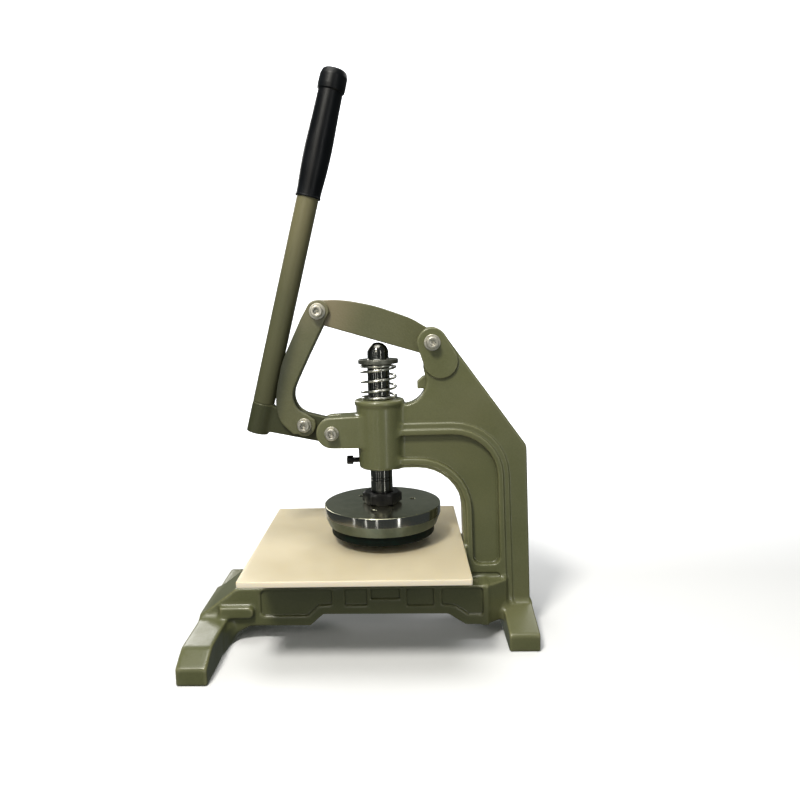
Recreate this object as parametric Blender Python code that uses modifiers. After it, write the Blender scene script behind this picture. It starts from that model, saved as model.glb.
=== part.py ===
"""Hand lever press for badge and patch work, modelled as separate pieces.

Units are metres, +Z is up, the operator stands on the -X side and pulls the handle towards -X.
The press is symmetric about the plane Y = 0 and stands on the floor at Z = 0.
"""
from math import asin, atan2, cos, degrees, hypot, pi, radians, sin

import bmesh
import bpy
from mathutils import Matrix, Vector

GAP = 0.0003                    # clearance left between pieces that touch

# driving positions in the plane Y = 0, as (X, Z)
RAM_X = 0.0208
LEVER_PIVOT = (-0.0329, 0.2353)
LEVER_LINK = (-0.0640, 0.2445)
ARM_LINK = (-0.0442, 0.3713)
ARM_PIVOT = (0.0812, 0.3334)

# half thicknesses across Y
PLATE_HALF = 0.0060             # top arm and lever bar
LINK_INNER = 0.0064
LINK_OUTER = 0.0120
FORK_HALF = 0.0065
WEB_HALF = 0.0120
RIB_HALF = 0.0150
PANEL_HALF = 0.0080
LUG_HALF = 0.0180
RAIL_HALF = 0.0380

# frame
BASE_FRONT_X = -0.1890
BASE_REAR_X = 0.1890
RAIL_TOP = 0.0640
BED_TOP = 0.1007
BED_HALF = 0.0340
FRONT_FOOT_HALF = 0.1300
FRONT_FOOT_WIDTH = 0.0323
REAR_FOOT_HALF = 0.0650
REAR_FOOT_WIDTH = 0.0332
THROAT_TOP = 0.1932
THROAT_RADIUS = 0.0500
COLUMN_FRONT_X = 0.1136
BARREL_RADIUS = 0.0274
BARREL_FOOT_RADIUS = 0.0248
BARREL_BOTTOM = 0.1925
BARREL_TOP = 0.2700
BARREL_BORE = 0.0163
POCKET_DEPTH = 0.0030
GUIDE_Z = 0.2010                # height of the guide screw in the barrel

# ram and tooling
RAM_RADIUS = 0.0125
RAM_BOTTOM = 0.1290
DOME_RADIUS = 0.0120
DOME_CENTRE_Z = 0.3227
SHOULDER_Z = 0.3165
COLLAR_RADIUS = 0.0220
COLLAR_BOTTOM = 0.3110
GRUB_Z = 0.3136                 # height of the grub screw in the collar
KEYWAY_DEPTH = 0.0030
DISC_RADIUS = 0.0665
DISC_TOP = 0.1510
DISC_BAND_BOTTOM = 0.1404
DISC_FOOT_RADIUS = 0.0618
DISC_BOTTOM = 0.1283
PAD_RADIUS = 0.0590
PAD_BOTTOM = 0.1180
PAD_SCREW_CIRCLE = 0.0360
LOCK_NUT_FLATS = 0.0390
LOCK_NUT_TOP = 0.1640

# return spring
SPRING_RADIUS = 0.01925
SPRING_WIRE = 0.0025
SPRING_TURNS = 4.75
SPRING_POINTS = 16
SPRING_START = radians(50)

# board
BOARD_FRONT_X = -0.1232
BOARD_REAR_X = 0.1114
BOARD_HALF = 0.1250
BOARD_BOTTOM = 0.1010
BOARD_TOP = 0.1074

# handle
HANDLE_LEAN = radians(15.0)
SOCKET_FOOT = (-0.1202, 0.2360)
SOCKET_LENGTH = 0.0350
TUBE_RADIUS = 0.0123
TUBE_BORE = 0.0096
GRIP_START = 0.2680
GRIP_END = 0.4040

# pivot hardware, M8
SCREW_RADIUS = 0.0040
SCREW_HEAD_RADIUS = 0.0065
SCREW_HEAD_HEIGHT = 0.0080
SCREW_SOCKET_FLATS = 0.0060
WASHER_THICKNESS = 0.0016
NUT_FLATS = 0.0130
NUT_THICKNESS = 0.0065
BUSH_RADIUS = 0.0060
EYE_BORE = 0.0063
OPEN_PIN_BORE = 0.0058          # wide hole that takes up the linkage's play
ROUND_STEPS = 24


# ---------------------------------------------------------------- scene and materials

for leftover in list(bpy.data.objects):
    bpy.data.objects.remove(leftover, do_unlink=True)

scene_root = bpy.context.scene.collection
parts = bpy.data.collections.new("lever_press")
cutters = bpy.data.collections.new("cutters")
scene_root.children.link(parts)
scene_root.children.link(cutters)


def material(name, colour, roughness, metallic=0.0):
    """A Principled material with one colour."""
    made = bpy.data.materials.new(name)
    made.use_nodes = True
    shader = made.node_tree.nodes["Principled BSDF"]
    shader.inputs["Base Color"].default_value = (*colour, 1.0)
    shader.inputs["Roughness"].default_value = roughness
    shader.inputs["Metallic"].default_value = metallic
    return made


GREEN = (0.105, 0.100, 0.045)
FINISHES = {
    "enamel": (GREEN, 0.45, 0.0),
    "board": ((0.68, 0.58, 0.38), 0.40, 0.0),
    "rubber": ((0.012, 0.014, 0.020), 0.35, 0.0),
    "polished": ((0.60, 0.60, 0.60), 0.18, 1.0),
    "collar": ((0.16, 0.16, 0.16), 0.45, 0.9),
    "spring": ((0.55, 0.53, 0.48), 0.25, 1.0),
    "ground": ((0.30, 0.30, 0.29), 0.35, 1.0),
    "black": ((0.015, 0.015, 0.017), 0.40, 0.6),
    "zinc": ((0.70, 0.68, 0.62), 0.30, 1.0),
    "bronze": ((0.45, 0.28, 0.12), 0.40, 1.0),
    "pad": ((0.010, 0.060, 0.035), 0.55, 0.0),
}


# ---------------------------------------------------------------- shape tools

def link_to(collection, obj):
    """Leave an object in one collection only."""
    for owner in list(obj.users_collection):
        owner.objects.unlink(obj)
    collection.objects.link(obj)
    return obj


def arc(centre, radius, start, end, steps=8):
    """Points round a centre from one angle in degrees to another."""
    turns = [radians(start + (end - start) * i / steps) for i in range(steps + 1)]
    return [(centre[0] + radius * cos(a), centre[1] + radius * sin(a)) for a in turns]


def rounded(corners, steps=5):
    """An outline through (u, v, radius) corners, each turned into an arc of that radius."""
    outline = []
    for i, (u, v, radius) in enumerate(corners):
        here = Vector((u, v))
        before = Vector(corners[i - 1][:2]) - here
        after = Vector(corners[(i + 1) % len(corners)][:2]) - here
        if radius == 0:
            outline.append((u, v))
            continue
        half = before.angle(after) / 2
        centre = here + (before.normalized() + after.normalized()).normalized() * radius / sin(half)
        first = here + before.normalized() * radius * cos(half) / sin(half) - centre
        last = here + after.normalized() * radius * cos(half) / sin(half) - centre
        sweep = first.angle_signed(last)
        for k in range(steps + 1):
            turn = Matrix.Rotation(-sweep * k / steps, 2)
            outline.append(tuple(centre + turn @ first))
    return outline


def flat(name, outline, low, high, plane="XZ"):
    """A flat plate: a filled 2D curve between two levels across its plane, made a mesh."""
    curve = bpy.data.curves.new(name, "CURVE")
    curve.dimensions = "2D"
    curve.fill_mode = "BOTH"
    curve.extrude = (high - low) / 2
    spline = curve.splines.new("POLY")
    spline.points.add(len(outline) - 1)
    for point, (u, v) in zip(spline.points, outline):
        point.co = (u, v, 0.0, 1.0)
    spline.use_cyclic_u = True
    middle = (low + high) / 2
    upright = Matrix.Rotation(pi / 2, 4, "X")
    turn = {
        "XZ": Matrix.Translation((0, middle, 0)) @ upright,
        "YZ": Matrix.Translation((middle, 0, 0)) @ Matrix.Rotation(pi / 2, 4, "Z") @ upright,
        "XY": Matrix.Translation((0, 0, middle)),
    }[plane]
    holder = bpy.data.objects.new(name, curve)
    scene_root.objects.link(holder)
    depsgraph = bpy.context.evaluated_depsgraph_get()
    mesh = bpy.data.meshes.new_from_object(holder.evaluated_get(depsgraph))
    bpy.data.objects.remove(holder, do_unlink=True)
    mesh.transform(turn)
    solid = bmesh.new()
    solid.from_mesh(mesh)
    bmesh.ops.remove_doubles(solid, verts=solid.verts, dist=0.00001)
    bmesh.ops.recalc_face_normals(solid, faces=solid.faces)
    solid.to_mesh(mesh)
    solid.free()
    return link_to(cutters, bpy.data.objects.new(name, mesh))


def rod(name, start, end, radius, end_radius=None, steps=ROUND_STEPS):
    """A cylinder or cone between two points."""
    start, end = Vector(start), Vector(end)
    along = end - start
    solid = bmesh.new()
    bmesh.ops.create_cone(solid, cap_ends=True, segments=steps, radius1=radius,
                          radius2=radius if end_radius is None else end_radius, depth=along.length)
    place = Matrix.Translation((start + end) / 2) @ along.to_track_quat("Z", "Y").to_matrix().to_4x4()
    bmesh.ops.transform(solid, matrix=place, verts=solid.verts)
    mesh = bpy.data.meshes.new(name)
    solid.to_mesh(mesh)
    solid.free()
    return link_to(cutters, bpy.data.objects.new(name, mesh))


def block(name, low, high):
    """A box between its lowest and highest corners."""
    solid = bmesh.new()
    bmesh.ops.create_cube(solid, size=1.0)
    size = Vector(high) - Vector(low)
    place = Matrix.Translation((Vector(high) + Vector(low)) / 2) @ Matrix.Diagonal((*size, 1.0))
    bmesh.ops.transform(solid, matrix=place, verts=solid.verts)
    mesh = bpy.data.meshes.new(name)
    solid.to_mesh(mesh)
    solid.free()
    return link_to(cutters, bpy.data.objects.new(name, mesh))


def hexagon(name, start, end, flats):
    """A hexagonal prism between two points, given its width across flats."""
    return rod(name, start, end, flats / 2 / cos(pi / 6), steps=6)


def hull(first, first_radius, second, second_radius):
    """The outline of two circles and the straight lines that touch both."""
    along = atan2(second[1] - first[1], second[0] - first[0])
    apart = hypot(second[0] - first[0], second[1] - first[1])
    lean = pi / 2 + asin((second_radius - first_radius) / apart)
    start, end = (degrees(along + lean), degrees(along - lean) + 360)
    return arc(first, first_radius, start, end, 10) + arc(second, second_radius, end - 360, start, 14)


def turned(name, profile, foot, lean=0.0, steps=ROUND_STEPS, hollow=False):
    """A body of revolution: (radius, height) points down the outer side and, if hollow, up the bore."""
    edges = [(i, i + 1) for i in range(len(profile) - 1)]
    if hollow:
        edges.append((len(profile) - 1, 0))
    mesh = bpy.data.meshes.new(name)
    mesh.from_pydata([(r, 0, h) for r, h in profile], edges, [])
    obj = link_to(parts, bpy.data.objects.new(name, mesh))
    screw = obj.modifiers.new("turn", "SCREW")
    screw.steps = screw.render_steps = steps
    screw.use_merge_vertices = True
    screw.merge_threshold = 0.00001
    obj.location = foot
    obj.rotation_euler = (0, lean, 0)
    return obj


def combine(target, operation, *others):
    """Join pieces to a target, or cut them from it, one exact Boolean after another."""
    for other in others:
        step = target.modifiers.new(operation.lower(), "BOOLEAN")
        step.operation = operation
        step.solver = "EXACT"
        step.object = other
        other.hide_render = True
        other.display_type = "WIRE"
    return target


def finish(obj, name, finish_name, origin=(0, 0, 0)):
    """Name a piece, give it its finish and put its origin on its joint."""
    obj.name = name
    if obj.type == "MESH" and obj.location.length == 0:
        obj.data.transform(Matrix.Translation(-Vector(origin)))
        obj.location = origin
    colour, roughness, metallic = FINISHES[finish_name]
    obj.data.materials.clear()
    obj.data.materials.append(material(name, colour, roughness, metallic))
    return link_to(parts, obj)


# ---------------------------------------------------------------- frame casting

def web_outline():
    """The C-shaped web from the barrel over the throat to the ear and down the column."""
    lower = rounded([
        (RAM_X, THROAT_TOP, 0), (0.1105, THROAT_TOP, THROAT_RADIUS), (COLUMN_FRONT_X, 0.0600, 0),
        (0.1600, 0.0600, 0), (0.1600, 0.0100, 0), (0.1875, 0.0100, 0), (0.1842, 0.2155, 0.0120),
        (0.0938, 0.3435, 0), (0.0760, 0.3300, 0), (0.0716, 0.3060, 0)])
    notch = arc((0.0470, 0.2915), 0.0270, 0, -90)
    return lower + notch + [(RAM_X, 0.2645)]


def rib_outline():
    """The proud band round the panel: throat flange, upper rib and the band down to the rear foot."""
    return rounded([
        (RAM_X, THROAT_TOP, 0), (0.1105, THROAT_TOP, THROAT_RADIUS), (COLUMN_FRONT_X, 0.0635, 0),
        (0.1560, 0.0635, 0.0040), (0.1595, 0.0180, 0), (0.1680, 0.0180, 0), (0.1628, 0.2400, 0.0600),
        (RAM_X, 0.2400, 0)])


def panel_outline():
    """The sunk panel between the throat flange and the upper rib."""
    return rounded([
        (RAM_X, 0.2302, 0), (0.1509, 0.2302, 0.0500), (0.1532, 0.0794, 0.0090),
        (0.1232, 0.0794, 0.0090), (0.1213, 0.2045, 0.0600), (RAM_X, 0.2045, 0)])


def rail_outline():
    """The side of the rail, with its sloping nose and the two steps under it."""
    return rounded([
        (-0.1880, 0.0060, 0), (-0.1880, 0.0330, 0.0030), (-0.1460, RAIL_TOP, 0.0060),
        (0.1365, RAIL_TOP, 0.0020), (0.1365, 0.0180, 0), (0.1114, 0.0183, 0.0040),
        (0.0920, 0.0310, 0.0060), (-0.0482, 0.0320, 0.0060), (-0.0634, 0.0186, 0.0040),
        (-0.1316, 0.0190, 0.0060), (-0.1567, 0.0060, 0)])


def foot_outline(half, end_height, crown_height, crown_half):
    """The end view of a cross foot: flat below, sloping down to both ends above."""
    return rounded([
        (-half, 0, 0), (-half, end_height, 0.0040), (-crown_half, crown_height, 0.0150),
        (crown_half, crown_height, 0.0150), (half, end_height, 0.0040), (half, 0, 0)], 3)


RAIL_POCKETS = [
    [(-0.1189, 0.0306, 0.0050), (-0.0657, 0.0306, 0.0040), (-0.0528, 0.0425, 0.0040),
     (-0.0380, 0.0434, 0.0020), (-0.0380, 0.0600, 0.0030), (-0.1189, 0.0600, 0.0050)],
    [(-0.0233, 0.0421, 0.0010), (0.0015, 0.0421, 0.0010), (0.0015, 0.0600, 0.0010),
     (-0.0233, 0.0600, 0.0010)],
    [(0.0061, 0.0494, 0.0010), (0.0383, 0.0494, 0.0010), (0.0383, 0.0600, 0.0010), (0.0061, 0.0600, 0.0010)],
    [(0.0461, 0.0414, 0.0010), (0.0762, 0.0414, 0.0010), (0.0762, 0.0600, 0.0010), (0.0461, 0.0600, 0.0010)],
    [(0.0851, 0.0423, 0.0020), (0.1006, 0.0404, 0.0040), (0.1149, 0.0302, 0.0040),
     (0.1310, 0.0302, 0.0030), (0.1310, 0.0600, 0.0030), (0.0851, 0.0600, 0.0020)],
]


def slot_outline(pivot, radius, open_x):
    """A fork slot: round behind the pivot and open towards the front."""
    return arc(pivot, radius, -90, 90, 10) + [(open_x, pivot[1] + radius), (open_x, pivot[1] - radius)]


def frame_casting():
    """The whole green casting, joined from its plates and bosses and then cut."""
    frame = flat("frame_casting", rail_outline(), -RAIL_HALF, RAIL_HALF)
    lug = arc(LEVER_PIVOT, 0.0175, 90, 270, 12) + [(RAM_X, 0.2172), (RAM_X, 0.2542)]
    stop = [(0.0641, 0.2816), (0.0760, 0.2816), (0.0760, 0.2956), (0.0704, 0.2956), (0.0641, 0.2900)]
    ledge = rounded([(-0.1650, 0.0310, 0), (-0.1265, 0.0310, 0.0060), (-0.1265, 0.0440, 0.0060),
                     (-0.1650, 0.0440, 0)], 3)
    tail = [(0.1300, -0.0375), (0.1360, -0.0375), (0.1590, -0.0200), (0.1590, 0.0200), (0.1360, 0.0375),
            (0.1300, 0.0375)]
    heel = [(-0.1600, -0.0600), (-0.1490, -0.0200), (-0.1490, 0.0200), (-0.1600, 0.0600)]
    front = foot_outline(FRONT_FOOT_HALF, 0.0190, 0.0302, 0.1080)
    rear = foot_outline(REAR_FOOT_HALF, 0.0192, 0.0330, 0.0150)
    joined = [
        flat("web", web_outline(), -WEB_HALF, WEB_HALF),
        flat("rib", rib_outline(), -RIB_HALF, RIB_HALF),
        block("bed", (-0.1120, -BED_HALF, 0.0600), (0.1145, BED_HALF, BED_TOP)),
        flat("lug", lug, -LUG_HALF, LUG_HALF),
        flat("ear", hull(ARM_PIVOT, 0.0165, (0.0903, 0.3123), 0.0190), -RIB_HALF, RIB_HALF),
        flat("stop", stop, -0.0050, 0.0050),
        flat("ledge", ledge, -0.0450, 0.0450),
        flat("tail", tail, 0.0182, 0.0638, "XY"),
        flat("heel", heel, 0.0005, 0.0200, "XY"),
        flat("front_foot", front, BASE_FRONT_X, BASE_FRONT_X + FRONT_FOOT_WIDTH, "YZ"),
        flat("rear_foot", rear, BASE_REAR_X - REAR_FOOT_WIDTH, BASE_REAR_X, "YZ"),
        rod("barrel", (RAM_X, 0, BARREL_BOTTOM), (RAM_X, 0, BARREL_TOP), BARREL_FOOT_RADIUS,
            BARREL_RADIUS, 36),
    ]
    combine(frame, "UNION", *joined)
    for side in (-1, 1):
        low, high = sorted((side * PANEL_HALF, side * 0.0300))
        combine(frame, "DIFFERENCE", flat("panel_cut", panel_outline(), low, high))
        low, high = sorted((side * (RAIL_HALF - POCKET_DEPTH), side * (RAIL_HALF + 0.0100)))
        pockets = [flat("pocket_cut", rounded(pocket, 3), low, high) for pocket in RAIL_POCKETS]
        combine(frame, "DIFFERENCE", *pockets)
    # the panel cuts run through the barrel, so its wall is put back before the bores are cut
    wall = rod("barrel_wall", (RAM_X, 0, BARREL_BOTTOM + 0.0001), (RAM_X, 0, BARREL_TOP - 0.0001),
               BARREL_FOOT_RADIUS - 0.0001, BARREL_RADIUS - 0.0001, 36)
    combine(frame, "UNION", wall)
    holes = [rod("pivot_hole", (x, -0.0300, z), (x, 0.0300, z), SCREW_RADIUS + GAP)
             for x, z in (LEVER_PIVOT, ARM_PIVOT)]
    holes += [
        flat("lever_slot", slot_outline(LEVER_PIVOT, 0.0195, -0.0700), -FORK_HALF, FORK_HALF),
        flat("arm_slot", slot_outline(ARM_PIVOT, 0.0185, 0.0400), -FORK_HALF, FORK_HALF),
        rod("ram_bore", (RAM_X, 0, 0.1850), (RAM_X, 0, 0.2800), BARREL_BORE),
        rod("guide_screw_hole", (-0.0150, 0, GUIDE_Z), (RAM_X, 0, GUIDE_Z), 0.0033, steps=16),
    ]
    combine(frame, "DIFFERENCE", *holes)
    return finish(frame, "frame_casting", "enamel")


# ---------------------------------------------------------------- levers, links and handle

def top_arm():
    """The crescent arm that presses on the domed end of the ram."""
    outline = arc(ARM_PIVOT, 0.0153, -107, 68, 10)
    outline += [(0.0778, 0.3490), (0.0610, 0.3590), (0.0471, 0.3650), (0.0192, 0.3750), (-0.0088, 0.3815),
                (-0.0286, 0.3836)]
    outline += arc(ARM_LINK, 0.0122, 95, 235, 8) + [(-0.0369, 0.3546)]
    arm = flat("top_arm", outline, -PLATE_HALF, PLATE_HALF)
    holes = [rod("arm_hole", (x, -0.0100, z), (x, 0.0100, z), EYE_BORE) for x, z in (ARM_LINK, ARM_PIVOT)]
    combine(arm, "DIFFERENCE", *holes)
    return finish(arm, "top_arm", "enamel", (ARM_PIVOT[0], 0, ARM_PIVOT[1]))


def link_outline():
    """The bent link: eyes at both pins and a round belly towards the handle."""
    outer = arc(ARM_LINK, 0.0126, -10, 155, 10)
    belly = [(-0.0634, 0.3633), (-0.0835, 0.3215), (-0.0905, 0.2990), (-0.0944, 0.2800), (-0.0948, 0.2650),
             (-0.0915, 0.2508), (-0.0850, 0.2418), (-0.0770, 0.2345)]
    lower = arc(LEVER_LINK, 0.0128, 232, 385, 10)
    inner = [(-0.0600, 0.2555), (-0.0693, 0.2615), (-0.0745, 0.2702), (-0.0755, 0.2800), (-0.0718, 0.2915),
             (-0.0564, 0.3225)]
    return outer + belly + lower + inner


def link_plates():
    """A pair of links, one on each side of the arm and the lever."""
    for name, side in (("link_plate_front", -1), ("link_plate_back", 1)):
        low, high = sorted((side * LINK_INNER, side * LINK_OUTER))
        plate = flat(name, link_outline(), low, high)
        for (x, z), radius in ((ARM_LINK, SCREW_RADIUS + GAP), (LEVER_LINK, OPEN_PIN_BORE)):
            combine(plate, "DIFFERENCE", rod("link_hole", (x, -0.0300, z), (x, 0.0300, z), radius))
        finish(plate, name, "enamel", (ARM_LINK[0], 0, ARM_LINK[1]))


def on_handle(distance):
    """The point on the handle's axis at a distance above the socket's foot."""
    return (SOCKET_FOOT[0] + distance * sin(HANDLE_LEAN), 0, SOCKET_FOOT[1] + distance * cos(HANDLE_LEAN))


def lever_crank():
    """The flat lever bar, round at its pivot, with the handle socket welded across its end."""
    lean = degrees(HANDLE_LEAN)
    outline = arc(LEVER_PIVOT, 0.0142, -90 - lean, 90 - lean, 12) + [(-0.0620, 0.2578)]
    outline += [on_handle(0.0330)[::2], on_handle(0.0035)[::2]]
    bar = flat("lever_crank", outline, -PLATE_HALF, PLATE_HALF)
    socket = rod("socket", on_handle(0), on_handle(SOCKET_LENGTH), TUBE_RADIUS + 0.0003)
    bore = rod("socket_bore", on_handle(0.0080), on_handle(SOCKET_LENGTH + 0.01), TUBE_BORE)
    holes = [rod("lever_hole", (x, -0.0100, z), (x, 0.0100, z), EYE_BORE)
             for x, z in (LEVER_PIVOT, LEVER_LINK)]
    combine(bar, "UNION", socket)
    combine(bar, "DIFFERENCE", bore, *holes)
    return finish(bar, "lever_crank", "enamel", (LEVER_PIVOT[0], 0, LEVER_PIVOT[1]))


def handle():
    """Tube, joining stud and rubber grip on the leaning axis."""
    foot = on_handle(0)
    low, top = SOCKET_LENGTH + GAP, GRIP_END - 0.0100
    tube = turned("handle_tube", [(TUBE_RADIUS, top), (TUBE_RADIUS, low), (TUBE_BORE, low), (TUBE_BORE, top)],
                  foot, HANDLE_LEAN, hollow=True)
    finish(tube, "handle_tube", "enamel")
    stud_radius = TUBE_BORE - GAP
    stud = turned("handle_stud", [(0, 0.0650), (stud_radius, 0.0640), (stud_radius, 0.0083), (0, 0.0083)],
                  foot, HANDLE_LEAN)
    finish(stud, "handle_stud", "zinc")
    bore = TUBE_RADIUS + GAP
    skin = [(0, GRIP_END), (0.0080, GRIP_END - 0.0008), (0.0132, GRIP_END - 0.0040),
            (0.0150, GRIP_END - 0.0080), (0.0152, 0.3860), (0.0136, 0.3810), (0.0142, 0.3550),
            (0.0152, 0.3250), (0.0150, 0.3000), (0.0138, 0.2780), (0.0142, GRIP_START + 0.0010),
            (0.0138, GRIP_START), (bore, GRIP_START), (bore, top + GAP), (0, top + GAP)]
    grip = turned("hand_grip", skin, foot, HANDLE_LEAN)
    finish(grip, "hand_grip", "rubber")


# ---------------------------------------------------------------- pivots

PIVOTS = {
    # name: (place, clamped half thickness, washer radius)
    "lever_pivot": (LEVER_PIVOT, LUG_HALF, 0.0080),
    "lever_link": (LEVER_LINK, LINK_OUTER, 0.0080),
    "arm_link": (ARM_LINK, LINK_OUTER, 0.0090),
    "arm_pivot": (ARM_PIVOT, RIB_HALF, 0.0090),
}


def across(obj, place, name, finish_name):
    """Lay a turned piece on a pivot, its own +Z towards the front of the press."""
    finish(obj, name, finish_name)
    obj.location = (place[0], 0, place[1])
    obj.rotation_euler = (pi / 2, 0, 0)


def ring(radius, bore, low, high):
    """The profile of a ring: down its outside and up its bore."""
    return [(radius, high), (radius, low), (bore, low), (bore, high)]


def pivot(name, place, half, washer_radius):
    """Socket screw, two washers, nut and bush on one pivot axis."""
    bore = SCREW_RADIUS + GAP
    washer_low = half + GAP
    head_low = washer_low + WASHER_THICKNESS + GAP
    head_top = head_low + SCREW_HEAD_HEIGHT
    nut_end = -(head_low + NUT_THICKNESS)
    skin = [(0, head_top), (SCREW_HEAD_RADIUS - 0.0006, head_top), (SCREW_HEAD_RADIUS, head_top - 0.0006),
            (SCREW_HEAD_RADIUS, head_low), (SCREW_RADIUS, head_low), (SCREW_RADIUS, nut_end - 0.0020),
            (0, nut_end - 0.0020)]
    screw = turned(name + "_screw", skin, (0, 0, 0), steps=20)
    x, z = place
    socket = hexagon("socket_cut", (x, -head_top - 0.0010, z), (x, 0.0045 - head_top, z), SCREW_SOCKET_FLATS)
    combine(screw, "DIFFERENCE", socket)
    across(screw, place, name + "_screw", "zinc")
    for side, label in ((1, "front"), (-1, "back")):
        low, high = sorted((side * washer_low, side * (washer_low + WASHER_THICKNESS)))
        washer = turned("washer", ring(washer_radius, bore, low, high), (0, 0, 0), hollow=True, steps=20)
        across(washer, place, f"{name}_washer_{label}", "zinc")
    nut = hexagon(name + "_nut", (x, head_low, z), (x, head_low + NUT_THICKNESS, z), NUT_FLATS)
    combine(nut, "DIFFERENCE", rod("nut_hole", (x, 0, z), (x, 0.0400, z), bore, steps=20))
    finish(nut, name + "_nut", "zinc", (x, 0, z))
    bush = turned("bush", ring(BUSH_RADIUS, bore, -PLATE_HALF, PLATE_HALF), (0, 0, 0), hollow=True, steps=16)
    across(bush, place, name + "_bush", "bronze")


# ---------------------------------------------------------------- ram, spring and tooling

def at_ram(obj, name, finish_name):
    """Put a turned piece on the ram's axis."""
    finish(obj, name, finish_name)
    obj.location = (RAM_X, 0, 0)


def ram():
    """The steel ram with a domed end, and the keyway that its guide screw runs in."""
    dome = [(0, DOME_CENTRE_Z + DOME_RADIUS)]
    dome += [(u, DOME_CENTRE_Z + v) for u, v in arc((0, 0), DOME_RADIUS, 75, 0, 5)]
    grooves = [(RAM_RADIUS - depth, middle + offset) for middle in (0.1816, 0.1780)
               for depth, offset in ((0, 0.0006), (0.0005, 0), (0, -0.0006))]
    skin = dome + [(DOME_RADIUS, SHOULDER_Z), (RAM_RADIUS, SHOULDER_Z - 0.0006)] + grooves
    skin += [(RAM_RADIUS, RAM_BOTTOM), (0, RAM_BOTTOM)]
    shaft = turned("ram", skin, (RAM_X, 0, 0), steps=32)
    keyway_end = RAM_X - RAM_RADIUS + KEYWAY_DEPTH
    keyway = block("keyway", (RAM_X - 0.0200, -0.0034, 0.1970), (keyway_end, 0.0034, 0.2160))
    grub_seat = rod("grub_seat", (RAM_X + 0.0113, 0, GRUB_Z), (RAM_X + 0.0200, 0, GRUB_Z), 0.0020, steps=12)
    combine(shaft, "DIFFERENCE", keyway, grub_seat)
    at_ram(shaft, "ram", "polished")


def ram_collar():
    """The spring collar and the grub screw that holds it."""
    bore = RAM_RADIUS + GAP
    collar = turned("spring_collar", ring(COLLAR_RADIUS, bore, COLLAR_BOTTOM, COLLAR_BOTTOM + 0.0050),
                    (RAM_X, 0, 0), steps=32, hollow=True)
    grub_hole = rod("grub_hole", (RAM_X, 0, GRUB_Z), (RAM_X + 0.0300, 0, GRUB_Z), 0.0018, steps=12)
    combine(collar, "DIFFERENCE", grub_hole)
    at_ram(collar, "spring_collar", "collar")
    grub = rod("grub", (RAM_X + 0.0116, 0, GRUB_Z), (RAM_X + 0.0210, 0, GRUB_Z), 0.0015, steps=12)
    finish(grub, "collar_grub_screw", "black", (RAM_X, 0, GRUB_Z))


def return_spring():
    """A right-handed helix with closed ends, as a thin curve."""
    low = BARREL_TOP + GAP + SPRING_WIRE / 2
    high = COLLAR_BOTTOM - GAP - SPRING_WIRE / 2
    count = round(SPRING_TURNS * SPRING_POINTS)
    curve = bpy.data.curves.new("return_spring", "CURVE")
    curve.dimensions = "3D"
    curve.bevel_depth = SPRING_WIRE / 2
    curve.bevel_resolution = 2
    curve.use_fill_caps = True
    spline = curve.splines.new("POLY")
    spline.points.add(count)
    closed_turns = 0.95
    closed_rise = 0.0027
    free_turns = SPRING_TURNS - 2 * closed_turns
    for i, point in enumerate(spline.points):
        turn = i / SPRING_POINTS
        from_end = min(turn, SPRING_TURNS - turn)
        end_rise = closed_rise * min(from_end, closed_turns) / closed_turns
        if from_end < closed_turns:
            height = low + end_rise if turn < SPRING_TURNS / 2 else high - end_rise
        else:
            share = (turn - closed_turns) / free_turns
            height = low + closed_rise + (high - low - 2 * closed_rise) * share
        angle = SPRING_START + 2 * pi * turn
        point.co = (SPRING_RADIUS * cos(angle), SPRING_RADIUS * sin(angle), height, 1.0)
    spring = bpy.data.objects.new("return_spring", curve)
    scene_root.objects.link(spring)
    spring.location = (RAM_X, 0, 0)
    curve.materials.append(material("return_spring", *FINISHES["spring"]))
    return link_to(parts, spring)


def ram_bushes():
    """Two plain bushes pressed into the barrel, the lower one holed for the guide screw."""
    bore = RAM_RADIUS + GAP
    outer = BARREL_BORE - GAP
    for name, low, high in (("ram_bush_lower", 0.1928, 0.2240), ("ram_bush_upper", 0.2400, 0.2697)):
        bush = turned(name, ring(outer, bore, low, high), (RAM_X, 0, 0), hollow=True)
        if name == "ram_bush_lower":
            hole = rod("bush_hole", (-0.0150, 0, GUIDE_Z), (RAM_X, 0, GUIDE_Z), 0.0034, steps=16)
            combine(bush, "DIFFERENCE", hole)
        at_ram(bush, name, "bronze")


def guide_set_screw():
    """The black screw in the barrel whose tip runs in the ram's keyway."""
    tip = RAM_X - RAM_RADIUS + KEYWAY_DEPTH - 0.0010
    screw = rod("guide_set_screw", (-0.0112, 0, GUIDE_Z), (tip, 0, GUIDE_Z), 0.0029, steps=16)
    head = rod("guide_head", (-0.0182, 0, GUIDE_Z), (-0.0111, 0, GUIDE_Z), 0.0050, steps=20)
    socket = hexagon("guide_socket", (-0.0192, 0, GUIDE_Z), (-0.0150, 0, GUIDE_Z), 0.0050)
    combine(screw, "UNION", head)
    combine(screw, "DIFFERENCE", socket)
    finish(screw, "guide_set_screw", "black")


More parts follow.
